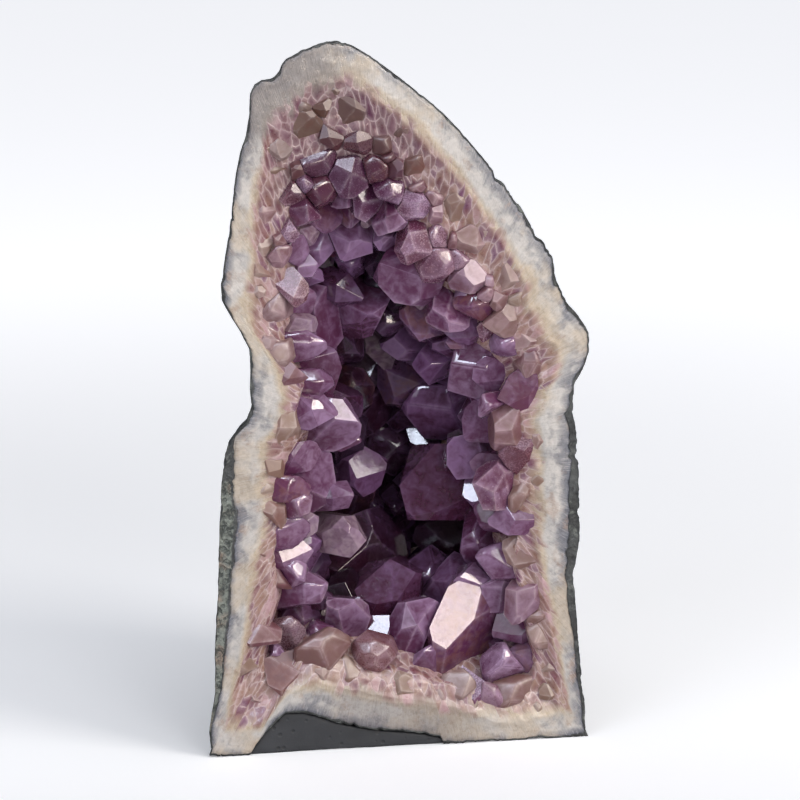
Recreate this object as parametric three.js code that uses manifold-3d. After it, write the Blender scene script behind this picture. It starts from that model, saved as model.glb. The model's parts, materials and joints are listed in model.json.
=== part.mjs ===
// An amethyst geode "cathedral": a tall natural hollow, sawn open on one side and standing on its base.
//
// From the outside in it is a basalt rind, a pale chalcedony band, a bed of massive lilac quartz and
// the amethyst crystals that grew on that bed into the hollow. A cast foot fills the space under the
// rind, so that the geode stands level.
//
// Units are millimetres. +Z is up, the sawn face looks along -Y and X runs to the right across it.
// The origin is the centre of the bounding box's underside.

import * as THREE from 'three';
import { mergeVertices } from 'three/addons/utils/BufferGeometryUtils.js';
import Module from 'manifold-3d';

// ---- Driving dimensions -------------------------------------------------------------------------

const DEPTH = 118;          // from the sawn face to the back of the rind
const FACE_Y = -DEPTH / 2;  // the sawn face
const GAP = 0.3;            // kept between neighbours that touch in the real stone
const CENTRE_Z = 130;       // the height that the outline is measured round
const BACK_HEIGHT = 0.92;   // the back's height as a share of the face's

// The rind's outline on the sawn face, [x, z], clockwise from the peak. The stretch between the two
// bottom corners is the underside that the cast foot fills. What is under z = 0 is sawn off.
const OUTLINE = [
  [-25, 300], [-18, 298], [-9.5, 293], [7.5, 280], [21.5, 268], [35.5, 252], [45, 240], [53, 229],
  [60, 217], [65, 214], [67, 203], [72, 189], [82, 175], [81, 163], [76.5, 156], [75, 146],
  [77, 130], [78, 106], [78, 84], [76, 74], [77, 54], [79, 30], [81, 10], [79, -5], [46, -6],
  [31, -1], [20, 2.5], [6, 6], [-9, 8], [-27, 12.5], [-38, 17], [-48, 18.5], [-55, 12],
  [-61, 5], [-67, -3], [-77, -4], [-81, 14], [-78, 26], [-78, 42], [-76, 66], [-75, 88],
  [-73, 122], [-70, 136], [-61, 146], [-61, 160],
  [-60.5, 174], [-66, 185], [-72, 196], [-71, 207], [-67.5, 227], [-65.5, 243], [-62, 259], [-58, 268],
  [-58.5, 282], [-47, 287], [-44, 293], [-34, 297],
];

// Thicknesses on the sawn face, as [bearing in degrees, millimetres]. 0 is right and 90 is up.
const RIND = [
  [0, 1.8], [30, 1.8], [60, 2.2], [90, 2.2], [120, 2.6], [150, 2.0], [172, 2.4], [188, 5.5], [205, 7.5],
  [228, 7.0], [238, 3.0], [262, 1.8], [285, 1.8], [303, 2.2], [318, 4.5], [335, 5.5], [350, 3.5],
];
const BAND = [
  [0, 9], [30, 11], [60, 13], [90, 13], [110, 12], [140, 10], [170, 7], [190, 7], [215, 6], [236, 12],
  [250, 10], [270, 11], [290, 11], [305, 16], [318, 14], [330, 9],
];
const BED = [
  [0, 10], [45, 10], [80, 10], [110, 9], [140, 9], [180, 9], [215, 9], [235, 11], [255, 7], [280, 7],
  [300, 10], [325, 10],
];

// The bed thickens behind the face, so that the hollow narrows like a funnel to its mouth.
const FUNNEL = [
  [0, 9], [30, 14], [60, 22], [80, 33], [105, 33], [125, 18], [150, 9], [180, 7], [215, 8], [240, 12],
  [270, 11], [300, 10], [330, 9],
];
const FUNNEL_DEPTH = 28;

// How far the rind swells behind the face, as [bearing, share of its radius], and where it is widest.
const SWELL = [
  [0, 0.035], [60, 0.01], [90, 0], [240, 0], [300, 0], [330, 0.05],
];
const SWELL_AT = 26;

// How much narrower the stone is at its back than on the face, as [bearing, share of its radius].
const TAPER = [
  [0, 0], [85, 0.02], [110, 0.18], [140, 0.29], [180, 0.3], [225, 0.28], [245, 0.14], [262, 0],
];

// The outline's notches fade behind the face: by this depth it is the mean over this many degrees.
const SMOOTH_BY = 90;
const SMOOTH_OVER = 15;

// Broad lumps of the outside, as [share of the radius, waves round it, waves front to back, phase].
const LUMPS = [[0.022, 3, 1.5, 40], [0.016, 5, 2.5, 200], [0.01, 8, 3.5, 110]];
const LUMPS_FROM = 15;
const LUMPS_FULL_BY = 60;

// The space behind each surface: how deep it reaches and how square its back is.
const SURFACES = {
  rind: { thickness: [], funnel: 0, depth: DEPTH, squareness: 2.5 },
  band: { thickness: [RIND], funnel: 0, depth: DEPTH - 6, squareness: 2.45 },
  bed: { thickness: [RIND, BAND], funnel: 0, depth: DEPTH - 14, squareness: 2.35 },
  cavity: { thickness: [RIND, BAND, BED], funnel: 1, depth: DEPTH - 28, squareness: 2.1 },
};

const FINE = 112;          // points round the surfaces that meet the outline
const COARSE = FINE / 2;   // points round the inner ones
const RINGS = 7;           // rings from the face to the back

const FOOT = { left: -63, right: 25, front: FACE_Y + 1.5, back: 32, corner: 34, height: 34 };

// ---- Crystals ---------------------------------------------------------------------------------

const ROOT = 5;            // how far a crystal is rooted in the bed
const BED_FLOOR = 2;       // what is left of the bed under the deepest root
const SHOULDER = 0.66;     // the pyramid's height as a share of the crystal's width
const LEAN_FROM = 16;      // a tip this far out from the wall starts to lean towards the back
const LEAN_PER_MM = 2.4;   // degrees of lean for each millimetre past that
const GOLDEN_ANGLE = 137.5;

// Each wall's crystals as [x, depth behind the face, z] of the tip, and the radius. heading is the
// bearing from the tip to the root at the middle of the wall, and fan turns it along the wall.
const WALLS = {
  left: {
    heading: 180, fan: -0.22, along: 'z', middle: 130,
    crystals: [
      [-16, 12, 223, 9], [-30, 10, 208, 7], [-8, 24, 212, 8], [-25, 10, 187, 8], [-10, 22, 189, 8],
      [-25, 8, 172, 7.5], [-36, 3, 160, 7], [-21, 14, 156, 7], [-6, 34, 156, 10], [-22, 9, 142, 8],
      [-25, 7, 128, 7.5], [-10, 24, 129, 7], [2, 30, 110, 11], [-14, 18, 106, 7], [-32, 5, 112, 6.5],
      [-32, 6, 98, 8], [-11, 14, 88, 10], [-30, 8, 84, 7], [-26, 8, 71, 8], [-21, 20, 60, 5],
      [-23, 18, 50, 7], [-33, 6, 50, 9.5],
    ],
  },
  right: {
    heading: 0, fan: 0.22, along: 'z', middle: 130,
    crystals: [
      [-5, 26, 209, 11], [18, 16, 200, 11], [22, 12, 187, 9], [35, 6, 180, 9], [21, 20, 173, 9],
      [15, 50, 183, 8], [27, 40, 153, 8], [39, 5, 150, 11], [31, 14, 157, 8], [37, 10, 168, 8],
      [25, 14, 136, 10], [40, 3, 125, 10], [32, 20, 116, 6], [33, 20, 99, 9], [39, 8, 95, 8],
      [34, 10, 79, 9], [26, 14, 67, 11], [38, 10, 50, 9], [46, 8, 37, 9], [34, 22, 37, 7],
    ],
  },
  floor: {
    heading: 270, fan: 0.5, along: 'x', middle: 5,
    crystals: [
      [-17, 14, 41, 8], [-10, 26, 44, 7], [-1, 14, 40, 7.5], [15, 12, 49, 12], [32, 10, 32, 9],
      [38, 4, 27, 5],
    ],
  },
  back: {
    heading: 90, fan: 0, along: 'z', middle: 130, lean: 82,
    crystals: [
      [19, 66, 148, 11], [8, 70, 124, 9], [11, 60, 86, 10], [9, 58, 53, 11], [26, 66, 111, 9],
      [29, 62, 78, 9], [23, 60, 44, 9],
    ],
  },
};

// ---- Solids -----------------------------------------------------------------------------------

const wasm = await Module();
wasm.setup();

// A closed geometry as a manifold-3d solid.
function solidOf(geometry) {
  const bare = geometry.clone();
  bare.deleteAttribute('normal');
  bare.deleteAttribute('uv');
  const merged = mergeVertices(bare, 1e-3);
  const corners = merged.index.array;
  const kept = [];
  for (let i = 0; i < corners.length; i += 3) {
    const [a, b, c] = corners.slice(i, i + 3);
    if (a !== b && b !== c && a !== c) kept.push(a, b, c);
  }
  return new wasm.Manifold(new wasm.Mesh({
    numProp: 3,
    vertProperties: merged.attributes.position.array,
    triVerts: new Uint32Array(kept),
  }));
}

// A solid back as a geometry with flat faces.
function geometryOf(solid) {
  const { vertProperties, triVerts, numProp } = solid.getMesh();
  const points = new Float32Array(vertProperties.length / numProp * 3);
  for (let i = 0; i < points.length / 3; i += 1) {
    points.set(vertProperties.subarray(i * numProp, i * numProp + 3), i * 3);
  }
  const geometry = new THREE.BufferGeometry();
  geometry.setAttribute('position', new THREE.BufferAttribute(points, 3));
  geometry.setIndex(new THREE.BufferAttribute(triVerts, 1));
  const flat = geometry.toNonIndexed();
  flat.computeVertexNormals();
  return flat;
}

// The largest body of a solid, without the slivers that a cut may leave beside it.
function largestOf(solid) {
  return solid.decompose().reduce((a, b) => (a.volume() > b.volume() ? a : b));
}

function boxSolid(low, high) {
  const size = new THREE.Vector3().subVectors(high, low);
  const box = new THREE.BoxGeometry(size.x, size.y, size.z);
  box.translate(...new THREE.Vector3().addVectors(low, high).multiplyScalar(0.5).toArray());
  return solidOf(box);
}

const FAR = 400;
const IN_FRONT = boxSolid(new THREE.Vector3(-FAR, -FAR, -FAR), new THREE.Vector3(FAR, FACE_Y, FAR));
const BELOW = boxSolid(new THREE.Vector3(-FAR, -FAR, -FAR), new THREE.Vector3(FAR, FAR, 0));

// ---- Surfaces of the stone --------------------------------------------------------------------

const radians = THREE.MathUtils.degToRad;

// A value between the entries of a [bearing, value] list, round the whole circle.
function atBearing(list, bearing) {
  const angle = ((bearing % 360) + 360) % 360;
  const after = list.findIndex(([at]) => at > angle);
  const [b, vb] = after < 0 ? [list[0][0] + 360, list[0][1]] : list[after];
  const [a, va] = list[(after < 0 ? list.length : after) - 1];
  return THREE.MathUtils.lerp(va, vb, THREE.MathUtils.smoothstep(angle, a, b));
}

const outline = new THREE.CatmullRomCurve3(
  OUTLINE.map(([x, z]) => new THREE.Vector3(x, 0, z - CENTRE_Z)), true, 'centripetal');

function bearingOf({ x, z }) {
  return THREE.MathUtils.euclideanModulo(THREE.MathUtils.radToDeg(Math.atan2(z, x)), 360);
}

// The outline's radius round the centre, at whole degrees and between them.
const RADII = Array.from({ length: 360 }, () => 0);
for (const point of outline.getPoints(7200)) {
  RADII[Math.floor(bearingOf(point))] = Math.hypot(point.x, point.z);
}

function outlineRadius(bearing) {
  const angle = THREE.MathUtils.euclideanModulo(bearing - 0.5, 360);
  const low = Math.floor(angle);
  return THREE.MathUtils.lerp(RADII[low], RADII[(low + 1) % 360], angle - low);
}

function meanRadius(bearing) {
  let sum = 0;
  for (let turn = -SMOOTH_OVER; turn <= SMOOTH_OVER; turn += 5) sum += outlineRadius(bearing + turn);
  return sum / (2 * SMOOTH_OVER / 5 + 1);
}

// The outside's radius before it closes at the back: the outline, its swell and its lumps.
function bodyRadius(bearing, behind) {
  const faded = THREE.MathUtils.smoothstep(behind, 0, SMOOTH_BY);
  const swell = atBearing(SWELL, bearing) * Math.exp(-(((behind - SWELL_AT) / SWELL_AT) ** 2))
    * THREE.MathUtils.smoothstep(behind, 0, SWELL_AT);
  const lumps = LUMPS.reduce((sum, [share, round, along, phase]) => {
    const wave = Math.sin(radians(round * bearing + phase)) * Math.sin(Math.PI * along * behind / DEPTH);
    return sum + share * wave;
  }, 0) * THREE.MathUtils.smoothstep(behind, LUMPS_FROM, LUMPS_FULL_BY);
  const taper = atBearing(TAPER, bearing) * THREE.MathUtils.clamp(behind / DEPTH, 0, 1);
  const onFace = THREE.MathUtils.lerp(outlineRadius(bearing), meanRadius(bearing), faded);
  return onFace * (1 + swell + lumps - taper);
}

// A surface's radius at a bearing and a depth behind the face.
function radiusAt({ thickness, funnel, depth, squareness }, bearing, behind) {
  const opened = Math.sin(Math.PI / 2 * Math.min(1, behind / FUNNEL_DEPTH));
  const narrowing = funnel * atBearing(FUNNEL, bearing) * opened;
  const inset = thickness.reduce((sum, list) => sum + atBearing(list, bearing), narrowing);
  const closing = (1 - THREE.MathUtils.clamp(behind / depth, 0, 1) ** squareness) ** (1 / squareness);
  return (bodyRadius(bearing, behind) - inset) * closing;
}

// How much lower the stone stands at a depth, as a share of the height on the face.
function heightShare(behind) {
  return THREE.MathUtils.lerp(1, BACK_HEIGHT, THREE.MathUtils.clamp(behind / DEPTH, 0, 1) ** 1.5);
}

// The space inside a surface, from well in front of the face to the surface's back. It is a lathe
// round the Y axis with its columns at even steps along the outline, and each of its points is then
// moved out to the surface. grow adds a margin.
function spaceInside(surface, columns, grow = 0) {
  const front = 20;
  const profile = [new THREE.Vector2(0, -front), new THREE.Vector2(1, -front)];
  for (let ring = 0; ring < RINGS; ring += 1) {
    profile.push(new THREE.Vector2(1, Math.sin(Math.PI / 2 * ring / RINGS) ** 1.15 * surface.depth));
  }
  profile.push(new THREE.Vector2(0, surface.depth));
  const geometry = new THREE.LatheGeometry(profile, columns);
  const bearings = outline.getSpacedPoints(columns).map(bearingOf);
  const at = geometry.attributes.position;
  for (let i = 0; i < at.count; i += 1) {
    const { x: turned, y } = profile[i % profile.length];
    const behind = Math.max(0, y);
    const bearing = bearings[Math.floor(i / profile.length) % columns];
    const radius = turned * (radiusAt(surface, bearing, behind) + grow);
    at.setXYZ(
      i,
      radius * Math.cos(radians(bearing)),
      FACE_Y + y + (y >= surface.depth ? grow : 0),
      (CENTRE_Z + radius * Math.sin(radians(bearing))) * heightShare(behind),
    );
  }
  return solidOf(geometry);
}

// ---- Pieces of the shell -----------------------------------------------------------------------

const S = SURFACES;

function rindSolid() {
  return largestOf(
    spaceInside(S.rind, FINE).subtract(spaceInside(S.band, FINE, GAP)).subtract(IN_FRONT).subtract(BELOW),
  );
}

function bandSolid() {
  const above = boxSolid(new THREE.Vector3(-FAR, -FAR, -FAR), new THREE.Vector3(FAR, FAR, 2));
  return largestOf(
    spaceInside(S.band, FINE).subtract(spaceInside(S.bed, COARSE, GAP)).subtract(IN_FRONT).subtract(above),
  );
}

function bedSolid() {
  return largestOf(spaceInside(S.bed, COARSE).subtract(spaceInside(S.cavity, COARSE)).subtract(IN_FRONT));
}

// The cast foot: a slab with round back corners, hollowed to the rind's underside.
function footSolid() {
  const { left, right, front, back, corner, height } = FOOT;
  const plan = new THREE.Shape();
  plan.moveTo(left, front);
  plan.lineTo(right, front);
  plan.lineTo(right, back - corner);
  plan.absarc(right - corner, back - corner, corner, 0, Math.PI / 2, false);
  plan.absarc(left + corner, back - corner, corner, Math.PI / 2, Math.PI, false);
  plan.lineTo(left, front);
  const slab = new THREE.ExtrudeGeometry(plan, { depth: height, bevelEnabled: false, curveSegments: 6 });
  return largestOf(solidOf(slab).subtract(spaceInside(S.rind, FINE, GAP)));
}

// ---- Crystals ---------------------------------------------------------------------------------

// Whether a point stands in the hollow, and not in the bed round it.
function inCavity(point) {
  const behind = Math.max(0, point.y - FACE_Y);
  const z = point.z / heightShare(behind) - CENTRE_Z;
  const bearing = bearingOf({ x: point.x, z });
  return behind < S.cavity.depth && Math.hypot(point.x, z) < radiusAt(S.cavity, bearing, behind);
}

// From the tip along the heading until the wall is reached, then on into the bed by ROOT.
function rootOf(tip, heading) {
  const step = 0.5;
  const point = tip.clone();
  while (inCavity(point)) point.addScaledVector(heading, step);
  return point.addScaledVector(heading, ROOT);
}

// The way from a tip to its root. A tip that stands far out from its wall leans towards the back.
function headingOf(wall, tip, index) {
  const turn = wall.fan * (tip[wall.along] - wall.middle) + 9 * Math.sin(radians(GOLDEN_ANGLE * index));
  const bearing = radians(wall.heading + turn);
  const flat = new THREE.Vector3(Math.cos(bearing), 0, Math.sin(bearing));
  const reach = rootOf(tip, flat).distanceTo(tip) - ROOT;
  const lean = radians(wall.lean ?? THREE.MathUtils.clamp((reach - LEAN_FROM) * LEAN_PER_MM, 0, 58));
  return flat.multiplyScalar(Math.cos(lean)).add(new THREE.Vector3(0, Math.sin(lean), 0));
}

// A six-sided prism from y = 0 with a six-sided pyramid on it. The shoulder's corners stand at
// different heights and the apex stands off the axis, so no two crystals end alike.
function crystalGeometry(radius, length, index, grow = 0) {
  const r = radius + grow;
  const pyramid = Math.min(2 * radius * SHOULDER, 0.75 * length);
  const profile = [[0, -grow], [r, -grow], [r, length - pyramid], [0, length + 1.4 * grow]]
    .map(([x, y]) => new THREE.Vector2(x, y));
  const geometry = new THREE.LatheGeometry(profile, 6);
  const at = geometry.attributes.position;
  const shift = new THREE.Vector3(Math.sin(2.1 * index), 0, Math.cos(3.7 * index));
  shift.multiplyScalar(0.22 * radius);
  for (let i = 0; i < at.count; i += 1) {
    const corner = Math.floor(3 * (1 + Math.atan2(at.getZ(i), at.getX(i)) / Math.PI));
    const outer = Math.hypot(at.getX(i), at.getZ(i)) > r / 2;
    const wide = 1 + 0.1 * Math.sin(5.3 * corner + index);
    if (outer) {
      const alternate = (corner & 1 ? 0.16 : -0.1) + 0.1 * Math.sin(2.9 * corner + 1.7 * index);
      const rise = at.getY(i) > 0 ? alternate * pyramid : 0;
      at.setXYZ(i, at.getX(i) * wide, at.getY(i) + rise, at.getZ(i) * wide);
    } else if (at.getY(i) > 0) {
      at.setXYZ(i, shift.x, at.getY(i), shift.z);
    }
  }
  return geometry;
}

// Where a crystal stands: its root at the origin of its own frame and its length along +Y.
function placeOf(tip, heading, index) {
  const root = rootOf(tip, heading);
  const axis = new THREE.Vector3().subVectors(tip, root);
  const length = axis.length();
  const turn = new THREE.Quaternion().setFromUnitVectors(new THREE.Vector3(0, 1, 0), axis.normalize());
  const roll = new THREE.Quaternion().setFromAxisAngle(
    new THREE.Vector3(0, 1, 0), radians(GOLDEN_ANGLE * index));
  const frame = new THREE.Matrix4().compose(root, turn.multiply(roll), new THREE.Vector3(1, 1, 1));
  return { length, frame };
}

// Every crystal, each cut back where it meets one that stands before it, as in a grown cluster.
function growCrystals() {
  const crystals = [];
  const reach = spaceInside(S.bed, COARSE, -BED_FLOOR).subtract(IN_FRONT);
  let index = 0;
  for (const [wallName, wall] of Object.entries(WALLS)) {
    wall.crystals.forEach(([x, behind, z, radius], n) => {
      index += 1;
      const tip = new THREE.Vector3(x, FACE_Y + behind, z);
      const { length, frame } = placeOf(tip, headingOf(wall, tip, index), index);
      const made = (grow) => solidOf(crystalGeometry(radius, length, index, grow).applyMatrix4(frame));
      crystals.push({
        name: `crystal_${wallName}_${String(n + 1).padStart(2, '0')}`,
        wall: wallName, frame, solid: made(0).intersect(reach), room: made(GAP),
      });
    });
  }
  // The ones nearest the face stay whole, and the others give way to them.
  const depthOf = ({ frame }) => new THREE.Vector3().setFromMatrixPosition(frame).y;
  const order = [...crystals].sort((a, b) => depthOf(a) - depthOf(b));
  order.forEach((crystal, i) => {
    for (const before of order.slice(0, i)) crystal.solid = crystal.solid.subtract(before.room);
    crystal.solid = largestOf(crystal.solid);
  });
  return crystals;
}

// ---- Materials --------------------------------------------------------------------------------

function stone(color, roughness) {
  return new THREE.MeshStandardMaterial({ color, roughness, metalness: 0 });
}

const MATERIALS = {
  rind: stone('#4d5350', 0.8),
  foot: stone('#3b3d40', 0.75),
  band: stone('#cfcac4', 0.35),
  bed: stone('#a58d9c', 0.3),
  left: stone('#8d6a8c', 0.12),
  right: stone('#96718f', 0.12),
  floor: stone('#a583ad', 0.12),
  back: stone('#4b2c4f', 0.1),
};

// ---- The scene graph --------------------------------------------------------------------------

function addPiece(group, name, solid, material) {
  const mesh = new THREE.Mesh(geometryOf(solid), material);
  mesh.name = name;
  group.add(mesh);
  return mesh;
}

// A crystal's mesh is held in its own frame and placed by its position and rotation.
function addCrystal(group, { name, wall, frame, solid }) {
  const mesh = addPiece(group, name, solid, MATERIALS[wall]);
  mesh.geometry.applyMatrix4(frame.clone().invert());
  mesh.applyMatrix4(frame);
}

function buildGeode() {
  const geode = new THREE.Group();
  geode.name = 'amethyst_geode';
  const shell = new THREE.Group();
  const crystals = growCrystals();
  const sockets = crystals.reduce((bed, crystal) => bed.subtract(crystal.room), bedSolid());
  addPiece(shell, 'basalt_rind', rindSolid(), MATERIALS.rind);
  addPiece(shell, 'cast_foot', footSolid(), MATERIALS.foot);
  addPiece(shell, 'chalcedony_band', bandSolid(), MATERIALS.band);
  addPiece(shell, 'quartz_bed', largestOf(sockets), MATERIALS.bed);
  geode.add(shell);
  for (const wall of Object.keys(WALLS)) {
    const cluster = new THREE.Group();
    crystals.filter((crystal) => crystal.wall === wall).forEach((crystal) => addCrystal(cluster, crystal));
    geode.add(cluster);
  }
  const box = new THREE.Box3().setFromObject(geode, true);
  const middle = box.getCenter(new THREE.Vector3());
  geode.position.set(-middle.x, -middle.y, 0);
  return geode;
}

export default buildGeode();
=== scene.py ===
"""The amethyst geode's looks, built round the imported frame.

Everything is in metres in the frame's own axes: +Z is up and the sawn face looks along -Y. Places
come from the frame's nodes: the stone's fine surfaces are read off them along rays, the named
crystals are refined copies of theirs, and the small crystals stand on the fine bed.
"""

import json
import math
import random

import bmesh
import bpy
import numpy as np
from mathutils import Matrix, Vector, kdtree, noise
from mathutils.bvhtree import BVHTree


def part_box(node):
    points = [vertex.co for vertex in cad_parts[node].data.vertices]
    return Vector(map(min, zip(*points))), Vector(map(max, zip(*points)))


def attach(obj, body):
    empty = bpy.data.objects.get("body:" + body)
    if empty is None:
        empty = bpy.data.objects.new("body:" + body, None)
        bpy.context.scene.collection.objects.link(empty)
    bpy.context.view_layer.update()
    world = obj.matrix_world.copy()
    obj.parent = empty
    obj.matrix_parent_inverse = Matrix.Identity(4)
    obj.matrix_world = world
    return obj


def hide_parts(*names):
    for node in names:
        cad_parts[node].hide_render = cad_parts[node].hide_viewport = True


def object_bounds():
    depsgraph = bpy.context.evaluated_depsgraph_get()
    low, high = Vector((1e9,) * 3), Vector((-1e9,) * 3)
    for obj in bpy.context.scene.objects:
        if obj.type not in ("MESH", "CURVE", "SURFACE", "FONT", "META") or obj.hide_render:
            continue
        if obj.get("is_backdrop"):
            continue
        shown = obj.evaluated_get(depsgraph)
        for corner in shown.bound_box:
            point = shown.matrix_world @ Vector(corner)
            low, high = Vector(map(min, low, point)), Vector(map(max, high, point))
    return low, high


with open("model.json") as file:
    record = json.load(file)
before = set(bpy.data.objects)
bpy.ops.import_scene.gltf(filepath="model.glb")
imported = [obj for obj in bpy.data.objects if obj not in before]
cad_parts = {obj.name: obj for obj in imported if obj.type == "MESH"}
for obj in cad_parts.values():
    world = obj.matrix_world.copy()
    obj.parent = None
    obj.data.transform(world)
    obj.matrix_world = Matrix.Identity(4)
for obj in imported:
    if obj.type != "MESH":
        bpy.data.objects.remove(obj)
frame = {"nodes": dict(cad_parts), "record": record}
CAD_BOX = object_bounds()

bl_info = {
    "name": "Amethyst Geode",
    "version": (1, 0, 0),
    "blender": (4, 5, 0),
    "location": "3D View > Sidebar > Geode",
    "description": "Stone, crystals and studio for a sawn amethyst geode",
    "category": "Object",
}

MM = 0.001
BODY = "root"
RIND, FOOT, BAND, BED = "basalt_rind", "cast_foot", "chalcedony_band", "quartz_bed"
CRYSTALS = sorted(name for name in frame["nodes"] if name.startswith("crystal_"))

LOW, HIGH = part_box(RIND)
FACE = LOW.y                # the sawn face
DEPTH = HIGH.y - LOW.y
HEIGHT = HIGH.z
CENTRE_SHARE = 0.433        # the height that bearings are taken round, as a share of the whole
BACK_SHARE = 0.92           # that centre's height at the back, as a share of its height in front


def srgb(red, green, blue):
    """A colour given in 0 to 255 steps, as the linear values that sockets take."""
    def linear(value):
        share = value / 255
        return share / 12.92 if share <= 0.04045 else ((share + 0.055) / 1.055) ** 2.4
    return tuple(linear(value) for value in (red, green, blue))


def held(value, high=1):
    """A value kept between 0 and a limit."""
    return min(max(value, 0), high)


# ---- Settings ----


def color_setting(name, description, red, green, blue):
    return bpy.props.FloatVectorProperty(
        name=name, description=description, subtype="COLOR", size=3, min=0, max=1,
        default=srgb(red, green, blue))


def length_setting(name, description, millimetres):
    return bpy.props.FloatProperty(
        name=name, description=description, default=millimetres * MM, min=0, unit="LENGTH",
        precision=5)


def power_setting(name, description, watts):
    return bpy.props.FloatProperty(
        name=name, description=description, default=watts, min=0, unit="POWER")


def angle_setting(name, description, degrees):
    return bpy.props.FloatProperty(
        name=name, description=description, default=math.radians(degrees), subtype="ANGLE")


class StoneSettings(bpy.types.PropertyGroup):
    """Sizes and colours of the rind, the foot, the band and the bed."""

    lump: length_setting("Lumps", "How far the rind's outside swells and sinks", 1.1)
    chip: length_setting("Chips", "Depth of the chips along the sawn edge", 1.7)
    pit: length_setting("Pits", "Depth of the pits where the rind is sawn", 1.3)
    waver: length_setting("Waver", "How far the layers' edges wander", 1.5)
    skin: color_setting("Skin", "The rind's weathered outside", 70, 72, 72)
    skin_dark: color_setting("Skin hollows", "Hollows of the rind's outside", 40, 41, 42)
    pit_dark: color_setting("Pits", "Dark pits of the rind's skin", 22, 23, 24)
    sawn: color_setting("Sawn rock", "The pale green-grey sawn rind", 134, 139, 130)
    sawn_dark: color_setting("Sawn rock spots", "Dark spots in the sawn rind", 44, 50, 47)
    cement: color_setting("Foot", "The cast foot", 44, 46, 51)
    milk: color_setting("Milky band", "White chalcedony", 192, 186, 181)
    cream: color_setting("Cream band", "Cream chalcedony", 186, 169, 148)
    smoke: color_setting("Smoke", "Smoky chalcedony", 122, 114, 112)
    blue: color_setting("Blue-grey band", "Clear chalcedony over dark rock", 108, 109, 118)
    tan: color_setting("Tan stain", "Iron stain between the band and the bed", 160, 132, 114)


class CrystalSettings(bpy.types.PropertyGroup):
    """Sizes and colours of the crystals."""

    bevel: length_setting("Edge", "Width of a crystal's worn edges", 0.17)
    root: length_setting("Root", "How far a small crystal is rooted in the bed", 3.0)
    root_pale: color_setting("Root, pale", "Milky quartz near the band", 188, 167, 153)
    root_dark: color_setting("Root, dark", "Stained quartz near the band", 146, 112, 96)
    rose: color_setting("Rose", "The pale colour of the outer crystals", 178, 140, 146)
    iron: color_setting("Iron", "The brown-red inside of the outer crystals", 118, 68, 76)
    lilac: color_setting("Lilac", "The pale colour of the middle crystals", 190, 156, 190)
    violet: color_setting("Violet", "The inside of the middle crystals", 108, 56, 92)
    mauve: color_setting("Mauve", "The pale colour of the deepest crystals", 150, 108, 156)
    deep: color_setting("Deep", "The inside of the deepest crystals", 86, 38, 64)
    rust: color_setting("Rust", "Crystals stained by iron", 138, 84, 62)
    milky: color_setting("Milky", "Crystals of milky quartz", 196, 174, 176)
    outline: color_setting("Outline", "Frosted edges", 202, 180, 178)
    seed: bpy.props.IntProperty(
        name="Seed", description="Starts the small crystals' random draws", default=11, min=0)


class StageSettings(bpy.types.PropertyGroup):
    """The floor, the lights and the camera."""

    floor: color_setting("Floor", "The pale floor", 246, 246, 248)
    key: power_setting("Key light", "The warm soft light from the right", 11)
    fill: power_setting("Fill light", "The cool soft light from the left", 5)
    top: power_setting("Top light", "The wide light over the geode", 5)
    front: power_setting("Front light", "The wide light from in front", 7)
    azimuth: angle_setting("Azimuth", "The camera's bearing round the geode", -10)
    elevation: angle_setting("Elevation", "The camera's height angle", 12)
    distance: length_setting("Distance", "From the camera to the middle of the face", 1250)
    lens: bpy.props.FloatProperty(
        name="Lens", description="The camera's focal length in millimetres", default=136, min=1)


# ---- Reading surfaces off the frame ----


def tree_of(*names):
    """One search tree over the faces of some of the frame's nodes."""
    corners, faces = [], []
    for name in names:
        mesh = frame["nodes"][name].data
        base = len(corners)
        corners += [v.co.copy() for v in mesh.vertices]
        faces += [[base + i for i in p.vertices] for p in mesh.polygons]
    return BVHTree.FromPolygons(corners, faces)


def centre_at(y):
    """The point of the centre line at a depth: bearings are taken round it."""
    share = held((y - FACE) / DEPTH)
    return Vector((0, y, HEIGHT * CENTRE_SHARE * (1 - (1 - BACK_SHARE) * share ** 1.5)))


def direction(bearing):
    return Vector((math.cos(bearing), 0, math.sin(bearing)))


REACH = 0.5             # longer than any ray needs
SKIN_STRIP = 2.9 * MM   # the width of the dark rind where it shows on the face


def radius_outside(tree, bearing, y):
    """The distance from the centre line to a surface's outside, or 0 behind its back."""
    centre, way = centre_at(y), direction(bearing)
    hit = tree.ray_cast(centre + way * REACH, -way, REACH)[0]
    return (hit - centre).length if hit else 0.0


def radius_inside(tree, bearing, y):
    """The distance from the centre line to a hollow's wall, or 0 behind its back."""
    centre, way = centre_at(y), direction(bearing)
    hit = tree.ray_cast(centre, way, REACH)[0]
    return (hit - centre).length if hit else 0.0


def even_bearings(tree, count):
    """Bearings at even steps along the outline of the face, starting under the centre, and the
    distance gone to each of them and back to the start."""
    rough = np.linspace(-math.pi / 2, 1.5 * math.pi, 2161)
    y = FACE + 0.2 * MM
    points = [centre_at(y) + direction(b) * radius_outside(tree, b, y) for b in rough]
    steps = [(b - a).length for a, b in zip(points, points[1:])]
    gone = np.concatenate([[0], np.cumsum(steps)])
    at = np.linspace(0, gone[-1], count + 1)
    return np.interp(at, gone, rough)[:-1], at


def ripple(along, total, sizes, seed):
    """Smooth noise along the closed outline: the sum of (millimetres long, height) waves."""
    ring = 2 * math.pi * along / total
    value = 0.0
    for number, (wavelength, height) in enumerate(sizes):
        reach = total / (2 * math.pi) / (wavelength * MM)
        spot = Vector((reach * math.cos(ring), reach * math.sin(ring), seed + 9.7 * number))
        value += height * noise.noise(spot)
    return value


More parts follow.
